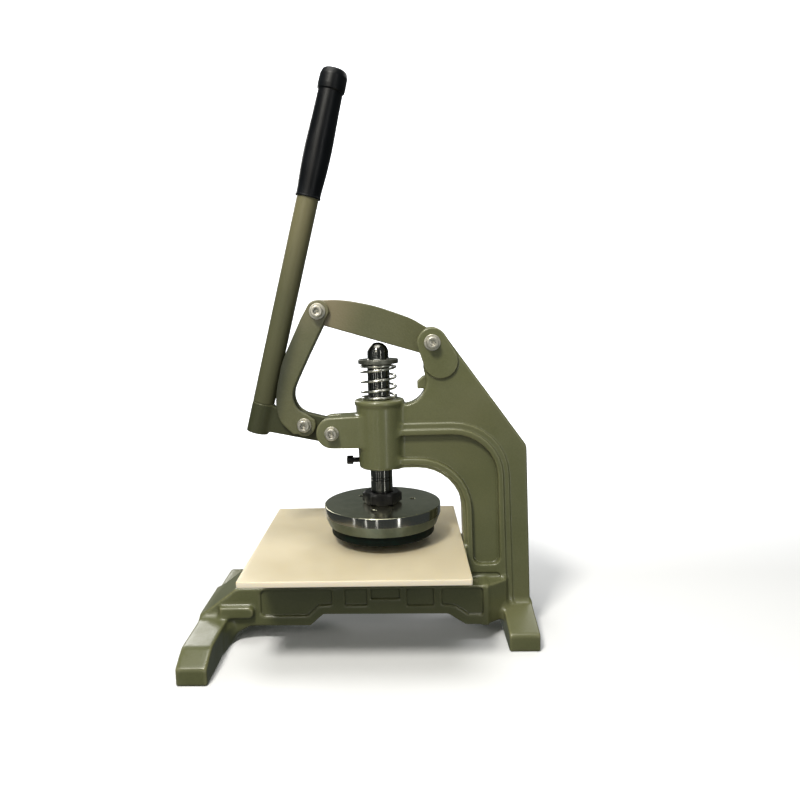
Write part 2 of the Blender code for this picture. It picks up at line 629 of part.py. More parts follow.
def press_tooling():
    """Round press plate, its green pad, the pad's screws and the lock nut, its corners on the X axis."""
    bore = RAM_RADIUS + GAP
    about_ram = Matrix.Translation((RAM_X, 0, 0))
    disc_skin = [(DISC_RADIUS - 0.0008, DISC_TOP), (DISC_RADIUS, DISC_TOP - 0.0008),
                 (DISC_RADIUS, DISC_BAND_BOTTOM), (DISC_FOOT_RADIUS, DISC_BOTTOM), (bore, DISC_BOTTOM),
                 (bore, DISC_TOP)]
    disc = turned("press_disc", disc_skin, (RAM_X, 0, 0), steps=48, hollow=True)
    pad_top = DISC_BOTTOM - GAP
    pad_skin = [(0, pad_top), (PAD_RADIUS, pad_top), (PAD_RADIUS, PAD_BOTTOM + 0.0015),
                (PAD_RADIUS - 0.0015, PAD_BOTTOM), (0, PAD_BOTTOM)]
    pad = turned("press_pad", pad_skin, (RAM_X, 0, 0), steps=40)
    for number in range(3):
        angle = radians(16 + 120 * number)
        x, y = RAM_X + PAD_SCREW_CIRCLE * cos(angle), PAD_SCREW_CIRCLE * sin(angle)
        combine(disc, "DIFFERENCE", rod("disc_hole", (x, y, 0.1200), (x, y, 0.1600), 0.0028, steps=12))
        combine(pad, "DIFFERENCE", rod("pad_hole", (x, y, 0.1215), (x, y, 0.1400), 0.0028, steps=12))
        screw = rod("pad_screw", (x, y, 0.1220), (x, y, 0.1475), 0.0025, steps=12)
        combine(screw, "DIFFERENCE", hexagon("pad_socket", (x, y, 0.1450), (x, y, 0.1500), 0.0030))
        finish(screw, f"pad_screw_{number + 1}", "black", (x, y, 0.1475))
    at_ram(disc, "press_disc", "ground")
    at_ram(pad, "press_pad", "pad")
    nut = hexagon("lock_nut", (RAM_X, 0, DISC_TOP + GAP), (RAM_X, 0, LOCK_NUT_TOP), LOCK_NUT_FLATS)
    nut.data.transform(about_ram @ Matrix.Rotation(pi / 6, 4, "Z") @ about_ram.inverted())
    combine(nut, "DIFFERENCE", rod("lock_nut_hole", (RAM_X, 0, 0.1400), (RAM_X, 0, 0.1800), bore, steps=32))
    finish(nut, "lock_nut", "black", (RAM_X, 0, 0))


def cutting_board():
    """The loose board that carries the work, resting on the bed."""
    low, high = (BOARD_FRONT_X, -BOARD_HALF, BOARD_BOTTOM), (BOARD_REAR_X, BOARD_HALF, BOARD_TOP)
    board = block("cutting_board", low, high)
    edge = board.modifiers.new("edges", "BEVEL")
    edge.width = 0.0008
    edge.segments = 2
    finish(board, "cutting_board", "board")


# ---------------------------------------------------------------- the press

frame_casting()
top_arm()
link_plates()
lever_crank()
handle()
for pivot_name, settings in PIVOTS.items():
    pivot(pivot_name, *settings)
ram()
ram_collar()
return_spring()
ram_bushes()
guide_set_screw()
press_tooling()
cutting_board()
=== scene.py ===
"""Looks of a hand lever press: a green hammered casting, toggle linkage, sprung ram and loose board."""
from math import cos, pi, radians, sin

import bpy
import numpy as np
from mathutils import Matrix, Vector


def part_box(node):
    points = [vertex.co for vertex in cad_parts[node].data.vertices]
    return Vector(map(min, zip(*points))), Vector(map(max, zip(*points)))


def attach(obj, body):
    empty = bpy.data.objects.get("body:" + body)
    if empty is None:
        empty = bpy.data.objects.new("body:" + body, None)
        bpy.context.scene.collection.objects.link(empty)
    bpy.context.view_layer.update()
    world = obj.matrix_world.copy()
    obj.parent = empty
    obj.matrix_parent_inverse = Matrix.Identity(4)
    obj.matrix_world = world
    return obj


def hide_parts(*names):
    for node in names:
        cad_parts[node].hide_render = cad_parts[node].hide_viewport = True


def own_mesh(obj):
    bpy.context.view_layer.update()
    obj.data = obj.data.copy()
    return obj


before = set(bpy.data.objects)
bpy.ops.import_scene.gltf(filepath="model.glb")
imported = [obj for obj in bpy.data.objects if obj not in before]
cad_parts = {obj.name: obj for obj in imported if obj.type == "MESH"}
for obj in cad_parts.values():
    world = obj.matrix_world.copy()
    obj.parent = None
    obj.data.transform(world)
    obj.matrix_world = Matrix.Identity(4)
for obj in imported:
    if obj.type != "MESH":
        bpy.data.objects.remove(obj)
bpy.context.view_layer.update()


# ---------------------------------------------------------------- floor, light and camera
# A pale floor and backdrop in one sheet, left out of reflections. One small lamp in front is the key,
# soft lamps stand above and behind, and narrow strips draw bright lines down the turned steel.

def shader_of(material):
    """The Principled shader of a material."""
    return material.node_tree.nodes["Principled BSDF"]


def wire(value, node, label):
    """A socket's value wired to an input of a node in the same tree."""
    node.id_data.links.new(value, node.inputs[label])


def set_inputs(node, **values):
    """Fixed values for a node's inputs, by name."""
    for label, value in values.items():
        node.inputs[label.replace("_", " ")].default_value = value


def mesh_from(name, points, faces):
    """A mesh from points, and the numbers of the points round each face."""
    mesh = bpy.data.meshes.new(name)
    mesh.from_pydata(points, [], faces)
    mesh.validate()
    return mesh


def placed(name, data):
    """An object made from its data, in the scene."""
    made = bpy.data.objects.new(name, data)
    bpy.context.scene.collection.objects.link(made)
    return made


def sweep_sheet(name, half_width, front, back, height, radius, steps):
    """A floor that turns up into a backdrop: a line along Y, a quarter circle, then a line up Z."""
    angle = np.linspace(0, pi / 2, steps)
    y = np.concatenate([[front], back + radius * np.sin(angle), [back + radius]])
    z = np.concatenate([[0.0], radius * (1 - np.cos(angle)), [height]])
    rows = len(y)
    points = [(x, y[i], z[i]) for i in range(rows) for x in (-half_width, half_width)]
    faces = [(2 * i, 2 * i + 1, 2 * i + 3, 2 * i + 2) for i in range(rows - 1)]
    sheet = placed(name, mesh_from(name, points, faces))
    sheet.data.shade_smooth()
    return sheet


floor = sweep_sheet("floor", 4.0, -2.5, 1.6, 3.0, 0.8, 24)
floor_paint = bpy.data.materials.new("pale_floor")
floor_paint.use_nodes = True
set_inputs(shader_of(floor_paint), Base_Color=(0.80, 0.81, 0.84, 1), Roughness=0.9, Specular_IOR_Level=0.1)
floor.data.materials.append(floor_paint)
floor.visible_glossy = floor.visible_diffuse = floor.visible_shadow = False

world = bpy.data.worlds.new("studio")
world.use_nodes = True
room = world.node_tree
dim = room.nodes["Background"]
set_inputs(dim, Color=(0.90, 1.0, 0.95, 1), Strength=0.125)
pale = room.nodes.new("ShaderNodeBackground")
set_inputs(pale, Color=(0.90, 0.90, 0.89, 1))
chosen = room.nodes.new("ShaderNodeMixShader")
wire(room.nodes.new("ShaderNodeLightPath").outputs["Is Camera Ray"], chosen, 0)
wire(dim.outputs[0], chosen, 1)
wire(pale.outputs[0], chosen, 2)
wire(chosen.outputs[0], room.nodes["World Output"], "Surface")
bpy.context.scene.world = world


def lamp(name, place, aim, size, power, colour=(1.0, 1.0, 1.0)):
    """A rectangular area lamp at a place, turned towards a point, that the camera doesn't see."""
    light = bpy.data.lights.new(name, "AREA")
    light.shape = "RECTANGLE"
    light.size, light.size_y = size
    light.energy = power
    light.color = colour
    obj = placed(name, light)
    obj.location = place
    obj.rotation_euler = (Vector(aim) - Vector(place)).to_track_quat("-Z", "Y").to_euler()
    obj.visible_camera = False


lamp("top_lamp", (-0.10, -0.20, 1.7), (0.0, 0.05, 0.2), (1.1, 0.8), 14, (1.0, 0.98, 0.93))
lamp("key_lamp", (-0.38, -0.95, 1.45), (0.0, 0.0, 0.25), (0.30, 0.30), 23, (1.0, 0.97, 0.88))
lamp("left_key", (-0.30, -0.95, 0.70), (-0.05, 0.0, 0.38), (0.30, 0.30), 1.2, (1.0, 0.93, 0.80))
for label, x, y, power in (("far_left", -1.15, -0.85, 0.9), ("left", -0.70, -1.25, 1.0),
                           ("middle", -0.22, -1.45, 1.0)):
    lamp(f"{label}_strip", (x, y, 0.40), (0.0, 0.0, 0.2), (0.03, 1.5), power, (1.0, 0.98, 0.94))
lamp("right_strip", (0.80, -1.25, 0.40), (0.05, 0.0, 0.2), (0.06, 1.5), 3.2, (1.0, 0.99, 0.96))
lamp("back_lamp", (0.9, 1.2, 1.6), (0.0, 0.2, 0.2), (1.0, 0.8), 8, (1.0, 0.98, 0.95))
lamp("back_key", (-0.9, 1.4, 0.9), (0.0, 0.0, 0.3), (0.7, 0.7), 9, (1.0, 0.98, 0.94))
lamp("wall_lamp", (0.0, 0.8, 1.5), (0.0, 2.4, 0.8), (4.0, 0.8), 120)

CAMERA_PLACE = (0.0484, -0.770, 0.3749)
CAMERA_YAW = radians(2.82)
CAMERA_PITCH = radians(7.36)
CAMERA_ROLL = radians(1.85)
forward = Vector((-sin(CAMERA_YAW) * cos(CAMERA_PITCH), cos(CAMERA_YAW) * cos(CAMERA_PITCH),
                  -sin(CAMERA_PITCH)))
level = Vector((cos(CAMERA_YAW), sin(CAMERA_YAW), 0))
down = forward.cross(level)
right = level * cos(CAMERA_ROLL) + down * sin(CAMERA_ROLL)
up = right.cross(forward)
lens = bpy.data.cameras.new("camera")
lens.sensor_width = 36
lens.lens = 30.9
lens.shift_x = 0.0375
lens.shift_y = -0.00625
camera = placed("camera", lens)
turn = Matrix((right, up, -forward)).transposed().to_4x4()
camera.matrix_world = Matrix.Translation(CAMERA_PLACE) @ turn
bpy.context.scene.camera = camera
bpy.context.scene.view_settings.view_transform = "Standard"


# ---------------------------------------------------------------- green hammered enamel
# The casting, levers, links and tube share one thick stoved enamel over sand-cast iron: olive green,
# with small raised blisters, a slight orange peel, dull dusty patches, and painted shade in the corners.

def group(name, inputs, outputs):
    """A new shader group of plain numbers: its inputs with their values, and its outputs by name."""
    made = bpy.data.node_groups.new(name, "ShaderNodeTree")
    for label, value in inputs.items():
        socket = made.interface.new_socket(label, in_out="INPUT", socket_type="NodeSocketFloat")
        socket.default_value = value
    for label in outputs:
        made.interface.new_socket(label, in_out="OUTPUT", socket_type="NodeSocketFloat")
    return made, made.nodes.new("NodeGroupInput"), made.nodes.new("NodeGroupOutput")


def place_node(tree, kind, settings=(), **values):
    """A node with its properties set, and its inputs set by name."""
    node = tree.nodes.new(kind)
    for label, value in settings:
        setattr(node, label, value)
    set_inputs(node, **values)
    return node


def noise(vector, scale, detail):
    """Fractal noise on a position."""
    node = place_node(vector.id_data, "ShaderNodeTexNoise", Scale=scale, Detail=detail, Roughness=0.55)
    wire(vector, node, "Vector")
    return node.outputs["Fac"]


def ramp(value, low, high, at_low=0.0, at_high=1.0):
    """A value stretched from one range to another, smoothly and clamped."""
    node = place_node(value.id_data, "ShaderNodeMapRange", [("interpolation_type", "SMOOTHSTEP")],
                      From_Min=low, From_Max=high, To_Min=at_low, To_Max=at_high)
    wire(value, node, "Value")
    return node.outputs["Result"]


def blend_colour(mask, first, second):
    """A colour mixed from two others by a mask; each is a socket or a fixed colour."""
    node = place_node(mask.id_data, "ShaderNodeMix", [("data_type", "RGBA")])
    wire(mask, node, "Factor")
    for label, colour in (("A", first), ("B", second)):
        socket = [i for i in node.inputs if i.name == label and i.type == "RGBA"][0]
        if isinstance(colour, bpy.types.NodeSocket):
            mask.id_data.links.new(colour, socket)
        else:
            socket.default_value = (*colour, 1)
    return [o for o in node.outputs if o.type == "RGBA"][0]


def maths(operation, first, second=0.0):
    """One arithmetic step on a socket's value and another, which may be a fixed number."""
    node = place_node(first.id_data, "ShaderNodeMath", [("operation", operation)])
    wire(first, node, 0)
    if isinstance(second, bpy.types.NodeSocket):
        wire(second, node, 1)
    else:
        node.inputs[1].default_value = second
    return node.outputs[0]


def weighted(*shares):
    """The sum of (value, share) pairs, each value times its share."""
    parts = [maths("MULTIPLY", value, share) for value, share in shares]
    total = parts[0]
    for part in parts[1:]:
        total = maths("ADD", total, part)
    return total


def wear_and_shade_group():
    """Edge and Corner masks: how far the surface stands out or is sunk at a point."""
    made, _, result = group("edge_and_corner", {}, ("Edge", "Corner"))
    point = made.nodes.new("ShaderNodeNewGeometry").outputs["Pointiness"]
    wire(ramp(point, 0.505, 0.56), result, "Edge")
    wire(ramp(point, 0.495, 0.44), result, "Corner")
    return made


edge_and_corner = wear_and_shade_group()


def hammer_group():
    """Hammered enamel on Object coordinates: blister height from fine cells, peel from noise."""
    made, given, result = group("hammered_enamel", {"Blisters": 420.0, "Peel": 160.0},
                                ("Height", "Tone", "Dust"))
    place = made.nodes.new("ShaderNodeTexCoord").outputs["Object"]
    cells = place_node(made, "ShaderNodeTexVoronoi", [("feature", "SMOOTH_F1")], Smoothness=0.8)
    wire(place, cells, "Vector")
    wire(given.outputs["Blisters"], cells, "Scale")
    peel = place_node(made, "ShaderNodeTexNoise", Detail=2.0)
    wire(place, peel, "Vector")
    wire(given.outputs["Peel"], peel, "Scale")
    wire(weighted((cells.outputs["Distance"], 0.6), (peel.outputs["Fac"], 0.8)), result, "Height")
    wire(weighted((noise(place, 9.0, 4.0), 0.6), (noise(place, 620.0, 2.0), 0.4)), result, "Tone")
    wire(noise(place, 26.0, 5.0), result, "Dust")
    return made


hammered_enamel = hammer_group()


def bumped(shader, height, strength, distance):
    """Relief from a height, wired to a shader's normal."""
    bump = place_node(shader.id_data, "ShaderNodeBump", Strength=strength, Distance=distance)
    wire(height, bump, "Height")
    wire(bump.outputs["Normal"], shader, "Normal")


def enamel(name, dark, light, warm, rough, worn=0.40, relief=0.20):
    """Olive enamel: two greens by tone, warmer where rubbed, painted shade in corners, worn lighter at edges.
    """
    made = bpy.data.materials.new(name)
    made.use_nodes = True
    tree = made.node_tree
    shader = shader_of(made)
    skin = place_node(tree, "ShaderNodeGroup", [("node_tree", hammered_enamel)])
    wear_and_shade = place_node(tree, "ShaderNodeGroup", [("node_tree", edge_and_corner)])
    colour = blend_colour(ramp(skin.outputs["Tone"], 0.34, 0.68), dark, light)
    place = tree.nodes.new("ShaderNodeTexCoord").outputs["Object"]
    rubbed = ramp(noise(place, 5.0, 2.0), 0.48, 0.72)
    colour = blend_colour(maths("MULTIPLY", rubbed, 0.5), colour, warm)
    # painted shade: sunk corners darkened towards a dark olive
    colour = blend_colour(maths("MULTIPLY", wear_and_shade.outputs["Corner"], 0.55), colour, (0.040, 0.040, 0.022))
    colour = blend_colour(maths("MULTIPLY", wear_and_shade.outputs["Edge"], worn), colour, (0.28, 0.27, 0.15))
    wire(colour, shader, "Base Color")
    wire(ramp(skin.outputs["Dust"], 0.35, 0.75, rough - 0.06, rough + 0.12), shader, "Roughness")
    set_inputs(shader, Coat_Weight=0.32, Coat_Roughness=0.20)
    bumped(shader, skin.outputs["Height"], relief, 0.0004)
    return made


cast_enamel = enamel("cast_enamel", (0.092, 0.098, 0.042), (0.114, 0.119, 0.053), (0.128, 0.122, 0.060), 0.37)


# ---------------------------------------------------------------- frame casting
# One sand casting in grey iron: rail, bed and cross feet below, a ribbed C-shaped web, the ram barrel,
# the forked lug and the forked ear above. Every edge is rounded and every corner has a fillet.

RAM_X = 0.0208
LEVER_PIVOT = np.array([-0.0329, 0.2353])
LEVER_LINK = np.array([-0.0640, 0.2445])
ARM_LINK = np.array([-0.0442, 0.3713])
ARM_PIVOT = np.array([0.0812, 0.3334])
SCREW_HOLE = 0.0043
GUIDE_Z = 0.2010
FOOT_REACH = 0.1890
POCKET_TOP = 0.0610


def arc(centre, radius, start, end, steps):
    """Points round a centre from one angle in degrees to another."""
    turns = np.radians(np.linspace(start, end, steps + 1))
    return [(centre[0] + radius * cos(a), centre[1] + radius * sin(a)) for a in turns]


def rounded(corners, steps=8):
    """An outline through (u, v, radius) corners, each corner an arc that touches both its sides."""
    outline = []
    for i, (u, v, radius) in enumerate(corners):
        if radius == 0:
            outline.append((u, v))
            continue
        here = np.array([u, v])
        before = np.array(corners[i - 1][:2]) - here
        after = np.array(corners[(i + 1) % len(corners)][:2]) - here
        before, after = before / np.linalg.norm(before), after / np.linalg.norm(after)
        half = np.arccos(before @ after) / 2
        middle = (before + after) / np.linalg.norm(before + after)
        centre = here + middle * radius / np.sin(half)
        first, last = [here + side * radius / np.tan(half) - centre for side in (before, after)]
        start = np.arctan2(first[1], first[0])
        sweep = (np.arctan2(last[1], last[0]) - start + pi) % (2 * pi) - pi
        outline += arc(centre, radius, np.degrees(start), np.degrees(start + sweep), steps)
    return outline


def hull(first, first_radius, second, second_radius):
    """The outline of two circles and the straight lines that touch both."""
    apart = np.array(second) - np.array(first)
    along = np.degrees(np.arctan2(apart[1], apart[0]))
    lean = 90 + np.degrees(np.arcsin((second_radius - first_radius) / np.linalg.norm(apart)))
    start, end = along + lean, along - lean + 360
    return arc(first, first_radius, start, end, 16) + arc(second, second_radius, end - 360, start, 20)


def outline_distance(outline, u, v):
    """Signed distance to a closed outline, negative inside: the least distance to any side, with the
    sign from how many sides a line towards +u crosses."""
    u, v = np.broadcast_arrays(u, v)
    points = np.array(outline)
    best = np.full(u.shape, np.inf)
    crossed = np.zeros(u.shape, bool)
    for a, b in zip(points, np.roll(points, -1, 0)):
        du, dv = b - a
        along = np.clip(((u - a[0]) * du + (v - a[1]) * dv) / (du * du + dv * dv + 1e-18), 0, 1)
        best = np.minimum(best, (u - a[0] - along * du) ** 2 + (v - a[1] - along * dv) ** 2)
        if dv != 0:
            crossed ^= ((a[1] > v) != (b[1] > v)) & (u < a[0] + (v - a[1]) * du / dv)
    return np.sqrt(best) * np.where(crossed, -1, 1)


def both(first, second, radius):
    """The solid inside two others, its shared edge rounded: the length of the two distances past the
    rounding, less the radius."""
    a, b = first + radius, second + radius
    return np.minimum(np.maximum(a, b), 0) + np.hypot(np.maximum(a, 0), np.maximum(b, 0)) - radius


def joined(first, second, fillet):
    """Two solids as one, with a fillet in the corner: the lesser distance, less a quarter of the
    fillet times the square of how evenly near both are."""
    near = np.maximum(fillet - np.abs(first - second), 0) / fillet
    return np.minimum(first, second) - near * near * fillet / 4


def cut(first, second, edge):
    """One solid with another cut from it, the new edge softened in the same way as a fillet."""
    near = np.maximum(edge - np.abs(first + second), 0) / edge
    return np.maximum(first, -second) + near * near * edge / 4


class Space:
    """Points on a grid whose axes may be finer in places, each axis ready to broadcast."""

    def __init__(self, x, y, z):
        self.axes = [np.asarray(axis, np.float32) for axis in (x, y, z)]
        self.x, self.y, self.z = [axis.reshape([-1 if i == k else 1 for i in range(3)])
                                  for k, axis in enumerate(self.axes)]

    def window(self, low, high):
        """The part of the grid in a box, as slices and as a grid of its own."""
        slices = tuple(slice(*np.searchsorted(axis, (a, b))) for axis, a, b in zip(self.axes, low, high))
        return slices, Space(*[axis[part] for axis, part in zip(self.axes, slices)])

    def plate(self, outline, low, high, radius, across="y"):
        """An outline carried straight across the grid, with its rims rounded."""
        first, second, third = {"y": (self.x, self.z, self.y), "x": (self.y, self.z, self.x),
                                "z": (self.x, self.y, self.z)}[across]
        depth = np.abs(third - (low + high) / 2) - (high - low) / 2
        return both(outline_distance(outline, first, second).astype(np.float32), depth, radius)

    def upright(self, x, y, radius, low, high, rim, end_radius=None):
        """A round post along Z, straight or tapering to another radius at its top."""
        share = np.clip((self.z - low) / (high - low), 0, 1)
        wall = radius if end_radius is None else radius + (end_radius - radius) * share
        side = np.hypot(self.x - x, self.y - y) - wall
        return both(side, np.abs(self.z - (low + high) / 2) - (high - low) / 2, rim)

    def bore(self, centre, radius):
        """An endless round hole along Y."""
        return np.hypot(self.x - centre[0], self.z - centre[1]) - radius + 0 * self.y


def graded(stretches):
    """Grid lines from (start, step) stretches up to the last start."""
    lines = [np.arange(a, b - step / 4, step) for (a, step), (b, _) in zip(stretches, stretches[1:])]
    return np.concatenate(lines + [[stretches[-1][0]]])


def net(field, space):
    """The surface where a field is zero: one point in each cell that the surface passes through, at the
    mean of its crossings on the cell's edges, and one four-sided face for each grid edge crossed."""
    inside = field < 0
    cells = np.zeros(tuple(n - 1 for n in field.shape), np.int8)
    for a in (slice(None, -1), slice(1, None)):
        for b in (slice(None, -1), slice(1, None)):
            for c in (slice(None, -1), slice(1, None)):
                cells += inside[a, b, c]
    live = np.argwhere((cells > 0) & (cells < 8))
    index = np.full(cells.shape, -1, np.int32)
    index[tuple(live.T)] = np.arange(len(live))
    total = np.zeros((len(live), 3))
    count = np.zeros(len(live))
    steps = np.eye(3, dtype=int)
    faces = []
    for axis in range(3):
        one, two = steps[(axis + 1) % 3], steps[(axis + 2) % 3]
        for corner in (0 * one, one, two, one + two):
            near = field[tuple((live + corner).T)]
            far = field[tuple((live + corner + steps[axis]).T)]
            crosses = (near < 0) != (far < 0)
            share = np.where(crosses, near / np.where(crosses, near - far, 1), 0)
            total += np.where(crosses[:, None], corner + share[:, None] * steps[axis], 0)
            count += crosses
        near = inside[tuple(slice(None, -1) if i == axis else slice(1, -1) for i in range(3))]
        far = inside[tuple(slice(1, None) if i == axis else slice(1, -1) for i in range(3))]
        for outward in (False, True):
            edges = np.argwhere((near & ~far) if outward else (far & ~near)) + 1 - steps[axis]
            ring = [index[tuple((edges - shift).T)] for shift in (one + two, two, 0 * one, one)]
            faces.append(np.stack(ring if outward else ring[::-1], 1))
    place = live + total / count[:, None]
    points = [np.interp(place[:, k], np.arange(len(axis)), axis) for k, axis in enumerate(space.axes)]
    return np.stack(points, 1), np.concatenate(faces)


def applied(piece):
    """A piece's modifiers made part of its mesh."""
    whole = bpy.context.evaluated_depsgraph_get()
    piece.data = bpy.data.meshes.new_from_object(piece.evaluated_get(whole))
    piece.modifiers.clear()


def add_piece(name, points, faces, body, material, slot, stands_for, sharp=None, keep=None):
    """A piece of the press from points and faces: shaded smooth, thinned to a share of its faces if
    asked, riding a body, in place of CAD nodes."""
    piece = placed(name, mesh_from(name, points.tolist(), faces.tolist()))
    if keep:
        piece.modifiers.new("thin", "DECIMATE").ratio = keep
        applied(piece)
    piece.data.shade_smooth()
    if sharp:
        piece.data.set_sharp_from_angle(angle=radians(sharp))
    piece.data.materials.clear()
    piece.data.materials.append(material)
    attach(piece, body)
    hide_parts(*stands_for)
    return piece


# the casting's outlines in its plane of symmetry, as (X, Z, corner radius)
THROAT = [(RAM_X, 0.1932, 0), (0.1105, 0.1932, 0.050), (0.1136, 0.0635, 0)]
WEB = rounded(THROAT + [(0.1600, 0.0600, 0), (0.1600, 0.0080, 0), (0.1877, 0.0080, 0),
                        (0.1842, 0.2155, 0.012), (0.0938, 0.3437, 0), (0.0760, 0.3300, 0),
                        (0.0714, 0.3060, 0.006)])
WEB += arc((0.0470, 0.2915), 0.027, 0, -90, 14) + [(RAM_X, 0.2645)]
BAND = THROAT + [(0.1556, 0.0635, 0.004), (0.1590, 0.0170, 0), (0.1680, 0.0170, 0), (0.1628, 0.2435, 0.0615),
                 (RAM_X, 0.2435, 0)]
CREST = [(RAM_X, 0.1970, 0), (0.1143, 0.1970, 0.054), (0.1174, 0.0700, 0), (0.1540, 0.0700, 0.006),
         (0.1568, 0.0170, 0), (0.1610, 0.0170, 0), (0.1565, 0.2368, 0.0555), (RAM_X, 0.2368, 0)]
PANEL = [(RAM_X, 0.2302, 0), (0.1509, 0.2302, 0.050), (0.1532, 0.0794, 0.009), (0.1232, 0.0794, 0.009),
         (0.1213, 0.2038, 0.060), (RAM_X, 0.2038, 0)]
RAIL = [(-0.1880, 0.0060, 0), (-0.1880, 0.0330, 0.003), (-0.1460, 0.0640, 0.010), (0.1365, 0.0640, 0.002),
        (0.1365, 0.0180, 0), (0.1114, 0.0183, 0.004), (0.0920, 0.0310, 0.006), (-0.0482, 0.0320, 0.006),
        (-0.0634, 0.0186, 0.004), (-0.1316, 0.0190, 0.010), (-0.1567, 0.0060, 0)]
RAIL_POCKETS = [
    [(-0.1189, 0.0306, 0.005), (-0.0657, 0.0306, 0.004), (-0.0528, 0.0425, 0.004), (-0.0380, 0.0434, 0.002),
     (-0.0380, POCKET_TOP, 0.003), (-0.1189, POCKET_TOP, 0.005)],
    [(0.0851, 0.0423, 0.002), (0.1006, 0.0404, 0.004), (0.1149, 0.0302, 0.004), (0.1310, 0.0302, 0.003),
     (0.1310, POCKET_TOP, 0.003), (0.0851, POCKET_TOP, 0.002)],
]
RAIL_POCKETS += [[(x, z, 0.001) for x, z in ((a, low), (b, low), (b, POCKET_TOP), (a, POCKET_TOP))]
                 for a, b, low in ((-0.0233, 0.0015, 0.0421), (0.0061, 0.0383, 0.0494),
                                   (0.0461, 0.0762, 0.0414))]


def foot_end(half, end_height, crown, crown_half):
    """A cross foot seen from its end: flat below, and sloping from its crown down to both ends."""
    return rounded([(-half, 0, 0.001), (-half, end_height, 0.004), (-crown_half, crown, 0.020),
                    (crown_half, crown, 0.020), (half, end_height, 0.004), (half, 0, 0.001)])


def upper_casting(solid, space):
    """Web, stepped band, sunk panel, ear, stop, lug and barrel, each joined or cut with its own fillet."""
    window, near = space.window((0.010, -0.030, 0.004), (0.195, 0.030, 0.350))
    flat = [outline_distance(rounded(outline), near.x, near.z).astype(np.float32)
            for outline in (BAND, CREST, PANEL)]
    web = near.plate(WEB, -0.0120, 0.0120, 0.0022)
    web = joined(web, both(flat[0], np.abs(near.y) - 0.0136, 0.0010), 0.0006)
    web = joined(web, both(flat[1], np.abs(near.y) - 0.0156, 0.0012), 0.0010)
    web = cut(web, both(flat[2], 0.0080 - np.abs(near.y), 0.0012), 0.0022)
    solid[window] = np.minimum(solid[window], web)

    window, near = space.window((0.055, -0.030, 0.275), (0.120, 0.030, 0.360))
    ear = hull(ARM_PIVOT, 0.0165, (0.0903, 0.3123), 0.0190)
    solid[window] = joined(solid[window], near.plate(ear, -0.0154, 0.0154, 0.0012), 0.0010)
    stop = [(0.0641, 0.2816), (0.0780, 0.2816), (0.0780, 0.2956), (0.0704, 0.2956), (0.0641, 0.2900)]
    solid[window] = joined(solid[window], near.plate(stop, -0.0050, 0.0050, 0.0008), 0.0015)

    window, near = space.window((-0.060, -0.034, 0.180), (0.060, 0.034, 0.285))
    lug = arc(LEVER_PIVOT, 0.0175, 90, 270, 20) + [(RAM_X, 0.2170), (RAM_X, 0.2546)]
    barrel = near.upright(RAM_X, 0, 0.0248, 0.1925, 0.2700, 0.0030, 0.0268)
    rim = near.upright(RAM_X, 0, 0.0277, 0.2655, 0.2700, 0.0016)
    boss = joined(joined(barrel, rim, 0.0040), near.plate(lug, -0.0180, 0.0180, 0.0016), 0.0040)
    solid[window] = joined(solid[window], boss, 0.0050)


def lower_casting(solid, space):
    """Rail with its pockets, bed, tail, side ledges and the two cross feet, flat below and at both ends."""
    window, near = space.window((-0.200, -0.140, -0.010), (0.200, 0.140, 0.115))
    base = near.plate(rounded(RAIL), -0.0380, 0.0380, 0.0024)
    bed = [(-0.1120, 0.0500), (0.1145, 0.0500), (0.1145, 0.1007), (-0.1120, 0.1007)]
    base = joined(base, near.plate(bed, -0.0340, 0.0340, 0.0020), 0.0060)
    tail = [(0.1300, -0.0375), (0.1360, -0.0375), (0.1590, -0.0200), (0.1590, 0.0200), (0.1360, 0.0375),
            (0.1300, 0.0375)]
    base = joined(base, near.plate(tail, 0.0182, 0.0638, 0.0020, "z"), 0.0040)
    front = near.plate(foot_end(0.1300, 0.0188, 0.0305, 0.1060), -FOOT_REACH, -0.1567, 0.0020, "x")
    rear = near.plate(foot_end(0.0650, 0.0192, 0.0335, 0.0130), 0.1558, FOOT_REACH, 0.0020, "x")
    base = joined(joined(base, front, 0.0120), rear, 0.0080)
    heel = [(-0.1600, -0.0600), (-0.1490, -0.0200), (-0.1490, 0.0200), (-0.1600, 0.0600)]
    base = joined(base, near.plate(heel, 0.0003, 0.0200, 0.0020, "z"), 0.0100)
    ledge = rounded([(-0.1650, 0.0310, 0), (-0.1265, 0.0310, 0.006), (-0.1265, 0.0440, 0.006),
                     (-0.1650, 0.0440, 0)])
    base = joined(base, near.plate(ledge, -0.0450, 0.0450, 0.0020), 0.0040)
    for pocket in RAIL_POCKETS:
        distance = outline_distance(rounded(pocket, 4), near.x, near.z).astype(np.float32)
        base = cut(base, both(distance, 0.0350 - np.abs(near.y), 0.0006), 0.0014)
    ends = np.maximum(np.abs(near.x) - FOOT_REACH, -near.z)
    solid[window] = joined(solid[window], np.maximum(base, ends), 0.0060)


def machined(solid, space):
    """The fork slots, pivot holes, ram bore and guide screw hole, with nearly sharp edges."""
    for pivot, radius, open_x in ((LEVER_PIVOT, 0.0195, -0.070), (ARM_PIVOT, 0.0185, 0.040)):
        window, near = space.window((pivot[0] - 0.04, -0.030, pivot[1] - 0.03),
                                    (pivot[0] + 0.03, 0.030, pivot[1] + 0.03))
        slot = arc(pivot, radius, -90, 90, 16) + [(open_x, pivot[1] + radius), (open_x, pivot[1] - radius)]
        solid[window] = cut(solid[window], near.plate(slot, -0.0065, 0.0065, 0.0003), 0.0008)
        solid[window] = cut(solid[window], near.bore(pivot, SCREW_HOLE), 0.0004)
    window, near = space.window((-0.012, -0.020, 0.185), (0.040, 0.020, 0.280))
    solid[window] = cut(solid[window], near.upright(RAM_X, 0, 0.0163, 0.1800, 0.2900, 0.0010), 0.0008)
    guide_hole = np.maximum(np.hypot(near.y, near.z - GUIDE_Z) - 0.0033, near.x - RAM_X)
    solid[window] = cut(solid[window], guide_hole, 0.0004)


